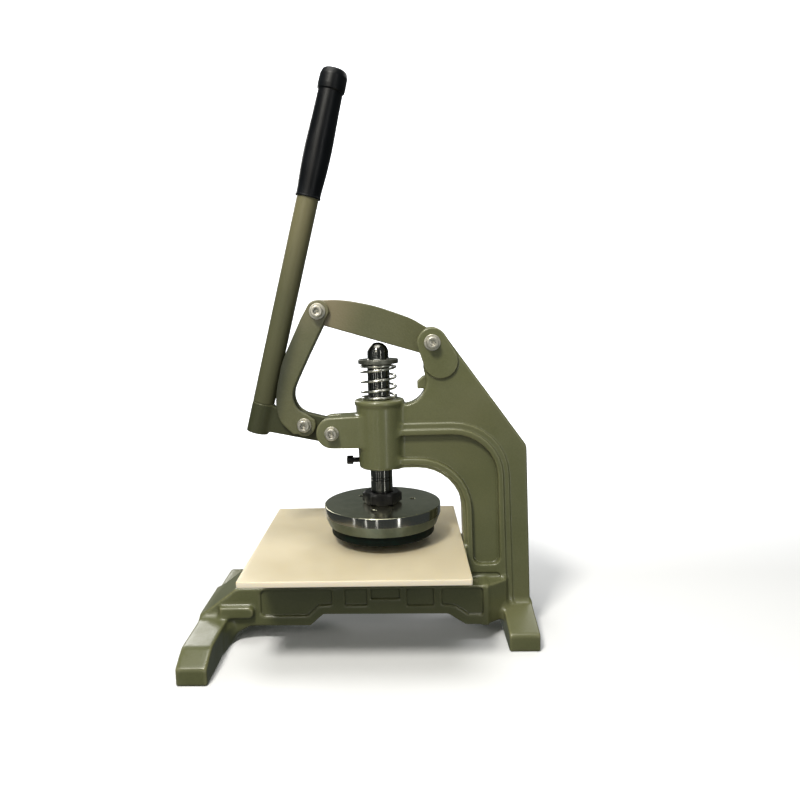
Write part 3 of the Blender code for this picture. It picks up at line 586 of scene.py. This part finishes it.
fine = 0.0009
half_y = graded([(0, fine), (0.0297, 0.0018), (0.1340, 0)])
casting_space = Space(graded([(-0.194, 0.0018), (-0.060, fine), (0.1935, 0)]), half_y,
                      graded([(-0.004, 0.0018), (0.0240, 0.0012), (0.0640, fine), (0.2800, 0.0011),
                              (0.3590, 0)]))
casting = np.full([len(axis) for axis in casting_space.axes], 0.05, np.float32)
upper_casting(casting, casting_space)
lower_casting(casting, casting_space)
machined(casting, casting_space)
casting = np.concatenate([casting[:, :0:-1], casting], 1)
casting_space = Space(casting_space.axes[0], np.concatenate([-half_y[:0:-1], half_y]), casting_space.axes[2])
add_piece("green_casting", *net(casting, casting_space), "frame", cast_enamel, "enamel", ["frame_casting"],
          keep=0.36)


# ---------------------------------------------------------------- toggle linkage
# Flame-cut steel plates under the same enamel: the crescent arm that bears on the ram, a bent link on
# each side of it, and the lever bar with the handle's socket welded across its end.

plate_greens = (0.084, 0.086, 0.039), (0.104, 0.105, 0.049), (0.122, 0.113, 0.058)
link_enamel = enamel("link_enamel", *plate_greens, 0.38, 0.10, 0.40)
arm_enamel = enamel("arm_enamel", *plate_greens, 0.38, 0.10, 0.45)
# painted shade: a darker copy of the green enamel for the handle tube and lever bar
tube_enamel_shaded = enamel("tube_enamel_shaded", (0.036, 0.040, 0.019), (0.046, 0.049, 0.023), (0.056, 0.055, 0.028),
                     0.50, 0.20)
set_inputs(shader_of(tube_enamel_shaded), Coat_Weight=0.08, Specular_IOR_Level=0.25)


def towards(material, foot, direction, none_at, full_at, colour, most):
    """A tone that builds up along a direction from a foot: none at one distance, the most at another."""
    tree = material.node_tree
    shader = shader_of(material)
    offset = place_node(tree, "ShaderNodeVectorMath", [("operation", "SUBTRACT")])
    wire(tree.nodes.new("ShaderNodeTexCoord").outputs["Object"], offset, 0)
    offset.inputs[1].default_value = foot
    along = place_node(tree, "ShaderNodeVectorMath", [("operation", "DOT_PRODUCT")])
    wire(offset.outputs["Vector"], along, 0)
    along.inputs[1].default_value = direction
    ends = sorted(((none_at, 0.0), (full_at, most)))
    mask = ramp(along.outputs["Value"], ends[0][0], ends[1][0], ends[0][1], ends[1][1])
    below = shader.inputs["Base Color"].links[0].from_socket
    wire(blend_colour(mask, below, colour), shader, "Base Color")


PLATE_HALF = 0.0060
EYE_BORE = 0.0063
HANDLE_LEAN = radians(15.0)
SOCKET_FOOT = np.array([-0.1202, 0.2360])
SOCKET_LENGTH = 0.0350
TUBE_RADIUS = 0.0123
TUBE_BORE = 0.0096
FLOW_STEPS = 6


def in_plane(point):
    """A point of the press's plane of symmetry, given as (X, Z)."""
    return (point[0], 0, point[1])


def flowing(points):
    """A smooth line through points: on each stretch a cubic whose slope at a point is half the way from
    the point before it to the point after it."""
    line = np.array(points)
    ends = np.concatenate([[2 * line[0] - line[1]], line, [2 * line[-1] - line[-2]]])
    share = np.linspace(0, 1, FLOW_STEPS, endpoint=False)[:, None]
    result = []
    for a, b, c, d in zip(ends, ends[1:], ends[2:], ends[3:]):
        result += list(0.5 * (2 * b + (c - a) * share + (2 * a - 5 * b + 4 * c - d) * share ** 2
                              + (3 * b - a - 3 * c + d) * share ** 3))
    return [tuple(p) for p in result] + [tuple(line[-1])]


def plate_space(outline, low, high, cell, margin=0.002):
    """An even grid round an outline in the X-Z plane, from one Y to another."""
    points = np.array(outline)
    (x0, z0), (x1, z1) = points.min(0) - margin, points.max(0) + margin
    return Space(np.arange(x0, x1 + cell, cell), np.arange(low - margin, high + margin + cell, cell),
                 np.arange(z0, z1 + cell, cell))


def on_handle(distance):
    """The (X, Z) point on the handle's axis at a distance above its socket's foot."""
    return SOCKET_FOOT + distance * np.array([sin(HANDLE_LEAN), cos(HANDLE_LEAN)])


# the back's first and last points only give it its slopes at the ends
arm_back = flowing([(0.0870, 0.3475), (0.0778, 0.3490), (0.0610, 0.3590), (0.0471, 0.3650), (0.0192, 0.3750),
                    (-0.0088, 0.3815), (-0.0286, 0.3836), (-0.0400, 0.3834)])[FLOW_STEPS:-FLOW_STEPS]
arm_outline = arc(ARM_PIVOT, 0.0153, -107, 68, 24) + arm_back
arm_outline += arc(ARM_LINK, 0.0122, 95, 235, 20) + [(-0.0369, 0.3546)]
grid = plate_space(arm_outline, -PLATE_HALF, PLATE_HALF, 0.0007)
arm = grid.plate(arm_outline, -PLATE_HALF, PLATE_HALF, 0.0011)
for pin in (ARM_LINK, ARM_PIVOT):
    arm = cut(arm, grid.bore(pin, EYE_BORE), 0.0004)
add_piece("crescent_arm", *net(arm, grid), "arm", arm_enamel, "enamel", ["top_arm"], keep=0.5)
# painted sheen: the arm made warmer and lighter round its link pin
towards(arm_enamel, in_plane(ARM_LINK), (1, 0, -0.3), 0.060, 0.010, (0.200, 0.165, 0.095), 0.75)

link_outline = arc(ARM_LINK, 0.0126, -10, 155, 22)
link_outline += flowing([(-0.0634, 0.3633), (-0.0835, 0.3215), (-0.0905, 0.2990), (-0.0944, 0.2800),
                         (-0.0948, 0.2650), (-0.0915, 0.2508), (-0.0850, 0.2418), (-0.0770, 0.2345)])
link_outline += arc(LEVER_LINK, 0.0128, 232, 385, 22)
link_outline += flowing([(-0.0600, 0.2555), (-0.0693, 0.2615), (-0.0745, 0.2702), (-0.0755, 0.2800),
                         (-0.0718, 0.2915), (-0.0564, 0.3225)])
handle_foot = in_plane(SOCKET_FOOT)
handle_axis = (sin(HANDLE_LEAN), 0, cos(HANDLE_LEAN))
across_handle = (cos(HANDLE_LEAN), 0, -sin(HANDLE_LEAN))
# painted shadow: the links darkened beside the handle tube, as in the tube's shadow
towards(link_enamel, handle_foot, across_handle, 0.030, 0.012, (0.016, 0.019, 0.011), 0.85)
# painted sheen: the links lighter and warmer towards their top
towards(link_enamel, (0, 0, 0), (0, 0, 1), 0.340, 0.375, (0.150, 0.135, 0.075), 0.6)
# painted light: the handle tube lighter and warmer towards the grip
towards(tube_enamel_shaded, handle_foot, handle_axis, 0.130, 0.270, (0.160, 0.146, 0.078), 0.85)
LINK_INNER = 0.0064
LINK_OUTER = 0.0120
for side, name, node in ((-1, "front_link", "link_plate_front"), (1, "back_link", "link_plate_back")):
    low, high = sorted((side * LINK_INNER, side * LINK_OUTER))
    grid = plate_space(link_outline, low, high, 0.0007)
    link = grid.plate(link_outline, low, high, 0.0011)
    link = cut(link, grid.bore(ARM_LINK, SCREW_HOLE), 0.0004)
    link = cut(link, grid.bore(LEVER_LINK, 0.0058), 0.0004)
    add_piece(name, *net(link, grid), "links", link_enamel, "enamel", [node], keep=0.5)

lean = np.degrees(HANDLE_LEAN)
lever_outline = arc(LEVER_PIVOT, 0.0142, -90 - lean, 90 - lean, 24) + [(-0.0620, 0.2578)]
lever_outline += [tuple(on_handle(0.0330)), tuple(on_handle(0.0035))]
socket_reach = [tuple(on_handle(distance) + (side, 0)) for distance in (-0.003, 0.038)
                for side in (-0.013, 0.013)]
grid = plate_space(lever_outline + socket_reach, -TUBE_RADIUS, TUBE_RADIUS, 0.0008)
lever = grid.plate(lever_outline, -PLATE_HALF, PLATE_HALF, 0.0011)
along = (grid.x - SOCKET_FOOT[0]) * sin(HANDLE_LEAN) + (grid.z - SOCKET_FOOT[1]) * cos(HANDLE_LEAN)
beside = (grid.x - SOCKET_FOOT[0]) * cos(HANDLE_LEAN) - (grid.z - SOCKET_FOOT[1]) * sin(HANDLE_LEAN)
from_axis = np.hypot(beside, grid.y)
socket = both(from_axis - TUBE_RADIUS - 0.0002, np.abs(along - SOCKET_LENGTH / 2) - SOCKET_LENGTH / 2, 0.0009)
lever = joined(lever, socket, 0.0045)
lever = cut(lever, np.maximum(from_axis - TUBE_BORE, 0.0080 - along), 0.0006)
for pin in (LEVER_PIVOT, LEVER_LINK):
    lever = cut(lever, grid.bore(pin, EYE_BORE), 0.0004)
add_piece("lever_bar", *net(lever, grid), "lever", tube_enamel_shaded, "enamel", ["lever_crank"], keep=0.5)


# ---------------------------------------------------------------- handle
# A length of steel tube on a plain stud in the socket, and a moulded rubber grip pushed over its end.
# Both are profiles turned about the leaning axis of the handle.

def lofted(rings):
    """Points and faces of closed rings laid one after another, each point joined to its neighbours."""
    rings = np.asarray(rings)
    count, around = rings.shape[:2]
    i = around * np.arange(count - 1)[:, None]
    j = np.arange(around)
    k = (j + 1) % around
    faces = np.stack([i + j, i + k, i + around + k, i + around + j], -1)
    return rings.reshape(-1, 3), faces.reshape(-1, 4)


def spun(corners, steps=96, flats=None, fan=4):
    """Rings of (radius, height, rounding) corners round the Z axis; with flats given, no ring goes past
    a hexagon that wide, a corner on X: r = flats / 2 / cos(angle from its nearest flat)."""
    outline = np.array(rounded(corners, fan))
    angle = 2 * pi * np.arange(steps) / steps
    radius = np.repeat(outline[:, :1], steps, 1)
    if flats:
        radius = np.minimum(radius, flats / 2 / np.cos(angle % (pi / 3) - pi / 6))
    return np.stack([radius * np.cos(angle), radius * np.sin(angle), np.repeat(outline[:, 1:], steps, 1)], -1)


def set_on(rings, foot, axis=(0, 0, 1)):
    """Points and faces of rings whose own Z is laid along an axis through a foot."""
    basis = np.array(Vector(axis).to_track_quat("Z", "Y").to_matrix())
    points, faces = lofted(rings)
    return points @ basis.T + np.array(foot), faces


def turned(corners, foot, axis=(0, 0, 1), **settings):
    """Corners turned about an axis through a foot."""
    return set_on(spun(corners, **settings), foot, axis)


def plain_material(name, colour, rough, metallic=0.0):
    """A material with one base colour, its shader and a position for its textures."""
    made = bpy.data.materials.new(name)
    made.use_nodes = True
    shader = shader_of(made)
    set_inputs(shader, Base_Color=(*colour, 1), Roughness=rough, Metallic=metallic)
    return made, shader, made.node_tree.nodes.new("ShaderNodeTexCoord").outputs["Object"]


def mottled(shader, pattern, spread, dark, light, roughness):
    """Colour and roughness that both follow one pattern. Gives back the colour."""
    colour = blend_colour(ramp(pattern, *spread), dark, light)
    wire(colour, shader, "Base Color")
    wire(ramp(pattern, 0.3, 0.7, *roughness), shader, "Roughness")
    return colour


grip_rubber, shader, place = plain_material("grip_rubber", (0.004, 0.005, 0.009), 0.3)
mottled(shader, noise(place, 24.0, 4.0), (0.45, 0.75), (0.0015, 0.002, 0.003), (0.003, 0.004, 0.006),
        (0.30, 0.46))
set_inputs(shader, Specular_IOR_Level=0.22)
bumped(shader, noise(place, 900.0, 2.0), 0.25, 0.0002)

GAP = 0.0003
TUBE_FOOT = SOCKET_LENGTH + GAP
TUBE_TOP = 0.3940
GRIP_FOOT = 0.2680
GRIP_END = 0.4040
tube = [(TUBE_RADIUS, TUBE_FOOT, 0.0006), (TUBE_RADIUS, TUBE_TOP, 0), (TUBE_BORE, TUBE_TOP, 0),
        (TUBE_BORE, TUBE_FOOT, 0), (TUBE_RADIUS - 0.0010, TUBE_FOOT, 0)]
add_piece("handle_tube_skin", *turned(tube, handle_foot, handle_axis), "lever", tube_enamel_shaded, "enamel",
          ["handle_tube"], 40)
bore = TUBE_RADIUS + GAP
swell = flowing([(0.0136, 0.2700), (0.0138, 0.2780), (0.0150, 0.3000), (0.0152, 0.3250), (0.0142, 0.3550),
                 (0.0136, 0.3790), (0.0137, 0.3812)])
grip = [(bore, TUBE_TOP + GAP, 0), (bore, GRIP_FOOT, 0.0003), (0.0142, GRIP_FOOT, 0.0006),
        (0.0142, 0.2700, 0.0006)]
grip += [(r, h, 0) for r, h in swell]
grip += [(0.0150, 0.3822, 0.0006), (0.0153, 0.3870, 0.0020), (0.0150, 0.3970, 0.0040),
         (0.0128, GRIP_END, 0.0040), (0.0001, GRIP_END, 0)]
add_piece("rubber_grip", *turned(grip, handle_foot, handle_axis), "lever", grip_rubber, "grip_rubber",
          ["hand_grip"], 40)


# ---------------------------------------------------------------- pivots
# Zinc-plated M8 socket screws with flat washers and hexagon nuts, one through each pivot. The bronze
# bushes they turn in are the frame's own rings, with a finish given here.

zinc, shader, place = plain_material("zinc_plate", (0.62, 0.60, 0.54), 0.3, 1.0)
colour = mottled(shader, noise(place, 500.0, 3.0), (0.35, 0.7), (0.52, 0.50, 0.43), (0.58, 0.56, 0.49),
                 (0.36, 0.44))
wear_and_shade = place_node(shader.id_data, "ShaderNodeGroup", [("node_tree", edge_and_corner)])
# painted shade: the hex socket and other sunk corners darkened
wire(blend_colour(wear_and_shade.outputs["Corner"], colour, (0.05, 0.05, 0.04)), shader, "Base Color")
bumped(shader, noise(place, 1400.0, 2.0), 0.05, 0.0001)

HEAD_RADIUS = 0.0065
HEAD_HEIGHT = 0.0080
WASHER = 0.0016
NUT_HEIGHT = 0.0065
NUT_ACROSS = 0.0130
PIVOTS = {
    "lever_pivot": ("frame", LEVER_PIVOT, 0.0180, 0.0080),
    "lever_link": ("lever", LEVER_LINK, LINK_OUTER, 0.0080),
    "arm_link": ("links", ARM_LINK, LINK_OUTER, 0.0090),
    "arm_pivot": ("frame", ARM_PIVOT, 0.0150, 0.0090),
}


def socket_head(radius, low, high, socket, depth, shank, shank_end, steps=144):
    """A socket screw: shank, knurled head with a softened rim, and a hexagon socket with a drilled end."""
    skin = spun([(0.0001, shank_end, 0), (shank, shank_end, 0.0006), (shank, low, 0), (radius, low, 0.0003),
                 (radius, high, 0.0009), (socket * 0.62, high, 0.0002)], steps)
    height = skin[:, :1, 2]
    teeth = 1 - 0.016 * (np.cos(2 * pi * np.arange(steps) / 4) > 0.5)
    on_side = (height > low + 0.0008) & (height < high - 0.0016)
    skin[:, :, :2] *= np.where(on_side, teeth, 1)[:, :, None]
    walls = [(socket * 0.60, high - 0.0003, 0), (socket * 0.58, high - 0.0006, 0),
             (socket * 0.58, high - depth, 0), (socket * 0.45, high - depth, 0),
             (0.0001, high - depth - 0.0012, 0)]
    return np.concatenate([skin, spun(walls, steps, socket)])


TO_FRONT = (0, -1, 0)
for name, (body, place, half, washer_radius) in PIVOTS.items():
    foot = in_plane(place)
    washer_low = half + GAP
    head_low = washer_low + WASHER + GAP
    nut_far = -(head_low + NUT_HEIGHT)
    head = socket_head(HEAD_RADIUS, head_low, head_low + HEAD_HEIGHT, 0.0060, 0.0042, 0.0040,
                       nut_far - 0.0020)
    add_piece(f"{name}_socket_screw", *set_on(head, foot, TO_FRONT), body, zinc, "zinc",
              [f"{name}_screw"], 30)
    for side, label in ((1, "front"), (-1, "back")):
        low, high = sorted((side * washer_low, side * (washer_low + WASHER)))
        ring = [(SCREW_HOLE, low, 0.0002), (washer_radius, low, 0.0004), (washer_radius, high, 0.0004),
                (SCREW_HOLE, high, 0.0002), (SCREW_HOLE, low + 0.0005, 0)]
        add_piece(f"{name}_{label}_washer", *turned(ring, foot, TO_FRONT), body, zinc, "zinc",
                  [f"{name}_washer_{label}"], 30)
    nut = [(SCREW_HOLE, nut_far, 0.0003), (0.0063, nut_far, 0), (0.0076, nut_far + 0.0010, 0),
           (0.0076, -head_low - 0.0006, 0), (0.0066, -head_low, 0), (SCREW_HOLE, -head_low, 0.0003),
           (SCREW_HOLE, nut_far + 0.0006, 0)]
    add_piece(f"{name}_hex_nut", *turned(nut, foot, TO_FRONT, flats=NUT_ACROSS), body, zinc, "zinc",
              [f"{name}_nut"], 30)

bronze, shader, place = plain_material("bearing_bronze", (0.42, 0.26, 0.11), 0.38, 1.0)
oiled = noise(place, 220.0, 3.0)
wire(blend_colour(ramp(oiled, 0.4, 0.7), (0.30, 0.18, 0.08), (0.50, 0.32, 0.15)), shader, "Base Color")


def coated(names, material):
    """A finish for pieces of the frame that show as they are."""
    for name in names:
        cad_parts[name].data.materials.clear()
        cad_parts[name].data.materials.append(material)


coated([f"{name}_bush" for name in PIVOTS], bronze)
coated(["handle_stud"], zinc)


# ---------------------------------------------------------------- ram and return spring
# A hard-chromed ram with a domed end slides in two bronze bushes. A blackened collar is pinned to it by
# a grub screw, and the wire spring between collar and barrel lifts it.

DRAWN_OUT = 0.85


def turned_finish(shader):
    """Highlights drawn out along the axis of a turned piece, across the marks of the tool."""
    tangent = place_node(shader.id_data, "ShaderNodeTangent", [("direction_type", "RADIAL"), ("axis", "Z")])
    wire(tangent.outputs["Tangent"], shader, "Tangent")
    set_inputs(shader, Anisotropic=DRAWN_OUT, Anisotropic_Rotation=0.25)


def streaked(name, bright, dull, rough, along_scale):
    """Polished steel: faint lengthwise streaks in colour and roughness, and a very fine grain."""
    made, shader, place = plain_material(name, bright, rough, 1.0)
    stretched = place_node(shader.id_data, "ShaderNodeMapping", Scale=(1.0, 1.0, along_scale))
    wire(place, stretched, "Vector")
    grain = noise(stretched.outputs["Vector"], 420.0, 4.0)
    mottled(shader, grain, (0.35, 0.65), bright, dull, (rough - 0.04, rough + 0.08))
    bumped(shader, grain, 0.06, 0.0001)
    turned_finish(shader)
    return made


polished = streaked("polished_steel", (0.17, 0.17, 0.16), (0.11, 0.11, 0.10), 0.12, 0.05)
wire_steel = streaked("spring_wire", (0.66, 0.66, 0.60), (0.50, 0.50, 0.45), 0.30, 1.0)


def dark_steel(name, dark, worn, rough, metallic=0.85):
    """Blackened steel: mottled, with bare metal showing a little on its edges."""
    made, shader, place = plain_material(name, dark, rough, metallic)
    wear_and_shade = place_node(shader.id_data, "ShaderNodeGroup", [("node_tree", edge_and_corner)])
    lighter = tuple(0.6 * a + 0.4 * b for a, b in zip(dark, worn))
    colour = mottled(shader, noise(place, 260.0, 4.0), (0.45, 0.75), dark, lighter,
                     (rough - 0.08, rough + 0.1))
    wire(blend_colour(maths("MULTIPLY", wear_and_shade.outputs["Edge"], 0.6), colour, worn), shader, "Base Color")
    bumped(shader, noise(place, 900.0, 3.0), 0.2, 0.0001)
    return made


collar_steel = dark_steel("collar_steel", (0.120, 0.128, 0.105), (0.30, 0.29, 0.26), 0.42)
black_oxide = dark_steel("black_oxide", (0.002, 0.002, 0.003), (0.012, 0.012, 0.012), 0.45, 0.4)
set_inputs(shader_of(black_oxide), Specular_IOR_Level=0.3)

RAM_RADIUS = 0.0125
ON_RAM = RAM_RADIUS + GAP
SLEEVE_RADIUS = 0.0160
DOME_RADIUS = 0.0120
DOME_Z = 0.3227
COLLAR_RADIUS = 0.0226
COLLAR_LOW = 0.3110
BARREL_TOP = 0.2700
ram_foot = (RAM_X, 0, 0)
grooves = [(RAM_RADIUS - depth, middle + offset, 0) for middle in (0.1780, 0.1816)
           for depth, offset in ((0, -0.0006), (0.0005, -0.0001), (0.0005, 0.0001), (0, 0.0006))]
dome = [(DOME_RADIUS * cos(a), DOME_Z + DOME_RADIUS * sin(a), 0) for a in np.linspace(0, pi / 2 - 0.01, 24)]
shaft = [(0.0001, 0.1290, 0), (RAM_RADIUS, 0.1290, 0.0006)] + grooves
shaft += [(RAM_RADIUS, 0.3159, 0.0002), (DOME_RADIUS, 0.3165, 0)] + dome
add_piece("domed_ram", *turned(shaft, ram_foot), "ram", polished, "polished_steel", ["ram"], 35)
collar = [(ON_RAM, COLLAR_LOW, 0.0004), (COLLAR_RADIUS, COLLAR_LOW, 0.0007),
          (COLLAR_RADIUS, COLLAR_LOW + 0.005, 0.0007), (ON_RAM, COLLAR_LOW + 0.005, 0.0004),
          (ON_RAM, COLLAR_LOW + 0.001, 0)]
add_piece("collar_ring", *turned(collar, ram_foot), "ram", collar_steel, "collar_steel",
          ["spring_collar"], 35)
for label, low, high in (("lower", 0.1928, 0.2240), ("upper", 0.2400, 0.2697)):
    sleeve = [(ON_RAM, low, 0.0004), (SLEEVE_RADIUS, low, 0.0004), (SLEEVE_RADIUS, high, 0.0004),
              (ON_RAM, high, 0.0008), (ON_RAM, low + 0.001, 0)]
    add_piece(f"{label}_sleeve", *turned(sleeve, ram_foot), "frame", bronze, "bronze",
              [f"ram_bush_{label}"], 35)

SPRING_RADIUS = 0.01925
WIRE = 0.0028
TURNS = 4.75
CLOSED_TURNS = 0.95
CLOSED_RISE = 0.0027
SPRING_START = radians(50)
low, high = BARREL_TOP + GAP + WIRE / 2, COLLAR_LOW - GAP - WIRE / 2
turn = np.linspace(0, TURNS, 300)
from_end = np.minimum(turn, TURNS - turn)
end_rise = CLOSED_RISE * np.minimum(from_end, CLOSED_TURNS) / CLOSED_TURNS
free = low + CLOSED_RISE + (high - low - 2 * CLOSED_RISE) * (turn - CLOSED_TURNS) / (TURNS - 2 * CLOSED_TURNS)
height = np.where(from_end < CLOSED_TURNS, np.where(turn < TURNS / 2, low + end_rise, high - end_rise), free)
angle = SPRING_START + 2 * pi * turn
outward = np.stack([np.cos(angle), np.sin(angle), 0 * angle], 1)
centre = outward * SPRING_RADIUS + np.stack([RAM_X + 0 * angle, 0 * angle, height], 1)
around = 2 * pi * np.arange(14) / 14
wire_radius = WIRE / 2 * np.where(from_end < 0.004, 0.05, 1)
section = outward[:, None] * np.cos(around)[:, None] + np.array([0, 0, 1]) * np.sin(around)[:, None]
coil = centre[:, None] + section * wire_radius[:, None, None]
spring = add_piece("coil_spring", *lofted(coil), "frame", wire_steel, "spring_wire", ["return_spring"])
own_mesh(spring)

guide = socket_head(0.0050, 0.0111, 0.0182, 0.0050, 0.0032, 0.0029, -0.0112)
add_piece("guide_screw", *set_on(guide, (0, 0, GUIDE_Z), (-1, 0, 0)), "frame", black_oxide, "black_oxide",
          ["guide_set_screw"], 30)


# ---------------------------------------------------------------- press plate, pad and lock nut
# A turned steel plate locked on the ram's end: ground top, bright band, matt chamfer below it. A hard
# green pad is screwed on under it from above.

RINGS_SCALE = 2600.0
disc_steel, shader, place = plain_material("turned_steel", (0.2, 0.2, 0.2), 0.3, 1.0)
tree = shader.id_data
split = place_node(tree, "ShaderNodeSeparateXYZ")
centred = place_node(tree, "ShaderNodeMapping", Location=(-RAM_X, 0, 0))
wire(place, centred, "Vector")
wire(centred.outputs["Vector"], split, "Vector")
x, y = split.outputs["X"], split.outputs["Y"]
radius = maths("SQRT", weighted((x, x), (y, y)))
feed = place_node(tree, "ShaderNodeCombineXYZ")
wire(maths("MULTIPLY", radius, RINGS_SCALE), feed, "X")
wire(maths("MULTIPLY", split.outputs["Z"], RINGS_SCALE), feed, "Y")
rings = noise(feed.outputs["Vector"], 1.0, 2.0)
on_top = ramp(split.outputs["Z"], 0.1504, 0.1509)
on_chamfer = ramp(split.outputs["Z"], 0.1407, 0.1402)
stain = ramp(noise(place, 60.0, 4.0), 0.35, 0.7)
band = blend_colour(rings, (0.30, 0.30, 0.28), (0.20, 0.20, 0.19))
# painted reflection: the ground top tinted olive, as if mirroring the green casting
top = blend_colour(stain, (0.50, 0.50, 0.37), (0.58, 0.57, 0.43))
chamfer = blend_colour(stain, (0.13, 0.155, 0.125), (0.18, 0.205, 0.165))
colour = blend_colour(on_chamfer, blend_colour(on_top, band, top), chamfer)
wire(colour, shader, "Base Color")
rough = weighted((on_top, 0.06), (on_chamfer, 0.30), (rings, 0.08))
wire(maths("ADD", rough, 0.12), shader, "Roughness")
bumped(shader, rings, 0.08, 0.0001)
turned_finish(shader)
wire(ramp(split.outputs["Z"], 0.1504, 0.1509, DRAWN_OUT, 0.0), shader, "Anisotropic")

pad_rubber, shader, place = plain_material("pad_rubber", (0.004, 0.020, 0.012), 0.4)
mottled(shader, noise(place, 120.0, 4.0), (0.45, 0.75), (0.0005, 0.004, 0.003), (0.0012, 0.008, 0.006),
        (0.55, 0.7))
set_inputs(shader, Specular_IOR_Level=0.12)
bumped(shader, noise(place, 700.0, 2.0), 0.2, 0.0001)

DISC_TOP = 0.1510
DISC_FOOT = 0.1283
DISC_RADIUS = 0.0665
PAD_SCREW_CIRCLE = 0.0360
PAD_SCREW_TURN = 16
plate_edge = [(ON_RAM, DISC_FOOT, 0), (0.0618, DISC_FOOT, 0.0006), (DISC_RADIUS, 0.1404, 0.0004),
              (DISC_RADIUS, DISC_TOP, 0.0008), (ON_RAM, DISC_TOP, 0), (ON_RAM, DISC_FOOT + 0.001, 0)]
disc = add_piece("round_press_plate", *turned(plate_edge, ram_foot, steps=192), "ram", disc_steel,
                 "ground_steel", ["press_disc"])
drills = []
for number in range(3):
    angle = radians(PAD_SCREW_TURN + 120 * number)
    foot = (RAM_X + PAD_SCREW_CIRCLE * cos(angle), PAD_SCREW_CIRCLE * sin(angle), 0)
    hole = [(0.0001, 0.120, 0), (0.0028, 0.120, 0), (0.0028, DISC_TOP - 0.0004, 0),
            (0.0036, DISC_TOP + 0.0004, 0), (0.0001, DISC_TOP + 0.0004, 0)]
    points, faces = turned(hole, foot, steps=40)
    drills.append(placed("drill", mesh_from("drill", points.tolist(), faces.tolist())))
    step = disc.modifiers.new("hole", "BOOLEAN")
    step.operation, step.solver, step.object = "DIFFERENCE", "EXACT", drills[-1]
applied(disc)
disc.data.set_sharp_from_angle(angle=radians(30))
for drill in drills:
    bpy.data.objects.remove(drill)
PAD_RADIUS = 0.0590
PAD_LOW = 0.1180
PAD_HIGH = 0.1280
pad = [(0.0001, PAD_LOW, 0), (PAD_RADIUS, PAD_LOW, 0.0015), (PAD_RADIUS, PAD_HIGH, 0.0006),
       (0.0001, PAD_HIGH, 0)]
add_piece("round_pad", *turned(pad, ram_foot, steps=160), "ram", pad_rubber, "pad_rubber", ["press_pad"], 35)
NUT_TOP = 0.1640
nut = [(ON_RAM, DISC_TOP + GAP, 0), (0.0194, DISC_TOP + GAP, 0), (0.0226, DISC_TOP + 0.0020, 0),
       (0.0226, NUT_TOP - 0.0020, 0), (0.0194, NUT_TOP, 0), (RAM_RADIUS + 0.0011, NUT_TOP, 0),
       (ON_RAM, NUT_TOP - 0.0008, 0), (ON_RAM, DISC_TOP + 0.0010, 0)]
add_piece("ram_lock_nut", *turned(nut, ram_foot, flats=0.0390, steps=192), "ram", black_oxide, "black_oxide",
          ["lock_nut"], 30)
coated(("pad_screw_1", "pad_screw_2", "pad_screw_3", "collar_grub_screw"), black_oxide)


# ---------------------------------------------------------------- board
# A loose slab of cream polyethylene that takes the cut of the dies. Satin, softened at its edges, and
# scuffed where work is slid under the plate.

board_plastic, shader, place = plain_material("cream_board", (0.55, 0.46, 0.28), 0.36)
tree = shader.id_data
long_marks = place_node(tree, "ShaderNodeMapping", Scale=(0.12, 1.0, 1.0))
wire(place, long_marks, "Vector")
marks = noise(long_marks.outputs["Vector"], 460.0, 3.0)
colour = mottled(shader, noise(place, 11.0, 4.0), (0.35, 0.7), (0.56, 0.49, 0.345), (0.61, 0.54, 0.39),
                 (0.28, 0.42))
colour = blend_colour(maths("MULTIPLY", ramp(marks, 0.60, 0.78), 0.25), colour, (0.46, 0.39, 0.26))
# painted light: the board's upright sides made lighter than its top
facing = place_node(tree, "ShaderNodeSeparateXYZ")
wire(tree.nodes.new("ShaderNodeTexCoord").outputs["Normal"], facing, "Vector")
sides_painted_lighter = ramp(maths("ABSOLUTE", facing.outputs["Z"]), 0.2, 0.8, 1.0, 0.0)
colour = blend_colour(sides_painted_lighter, colour, (0.88, 0.80, 0.66))
wire(colour, shader, "Base Color")
set_inputs(shader, Subsurface_Weight=0.60, Subsurface_Radius=(0.020, 0.018, 0.013))
bumped(shader, marks, 0.10, 0.0001)

low, high = [np.array(corner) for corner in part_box("cutting_board")]
middle, half = (low + high) / 2, (high - low) / 2
EDGE = 0.0009
lower = [(half[1], low[2]), (EDGE + 0.004, low[2])]
lower += [(EDGE * (1 - sin(a)), low[2] + EDGE * (1 - cos(a))) for a in np.linspace(0, pi / 2, 6)]
profile = lower + [(inset, low[2] + high[2] - z) for inset, z in reversed(lower)]
slab = []
for inset, level_z in profile:
    side = np.maximum(half[:2] - inset, 0.00005)
    corner = min(0.0020, side[0], side[1])
    ring = []
    for quarter, (sx, sy) in enumerate(((1, 1), (-1, 1), (-1, -1), (1, -1))):
        ring += arc((middle[0] + sx * (side[0] - corner), middle[1] + sy * (side[1] - corner)), corner,
                    90 * quarter, 90 * quarter + 90, 6)
    slab.append([(x, y, level_z) for x, y in ring])
add_piece("cream_slab", *lofted(slab), "board", board_plastic, "board_plastic", ["cutting_board"], 60)
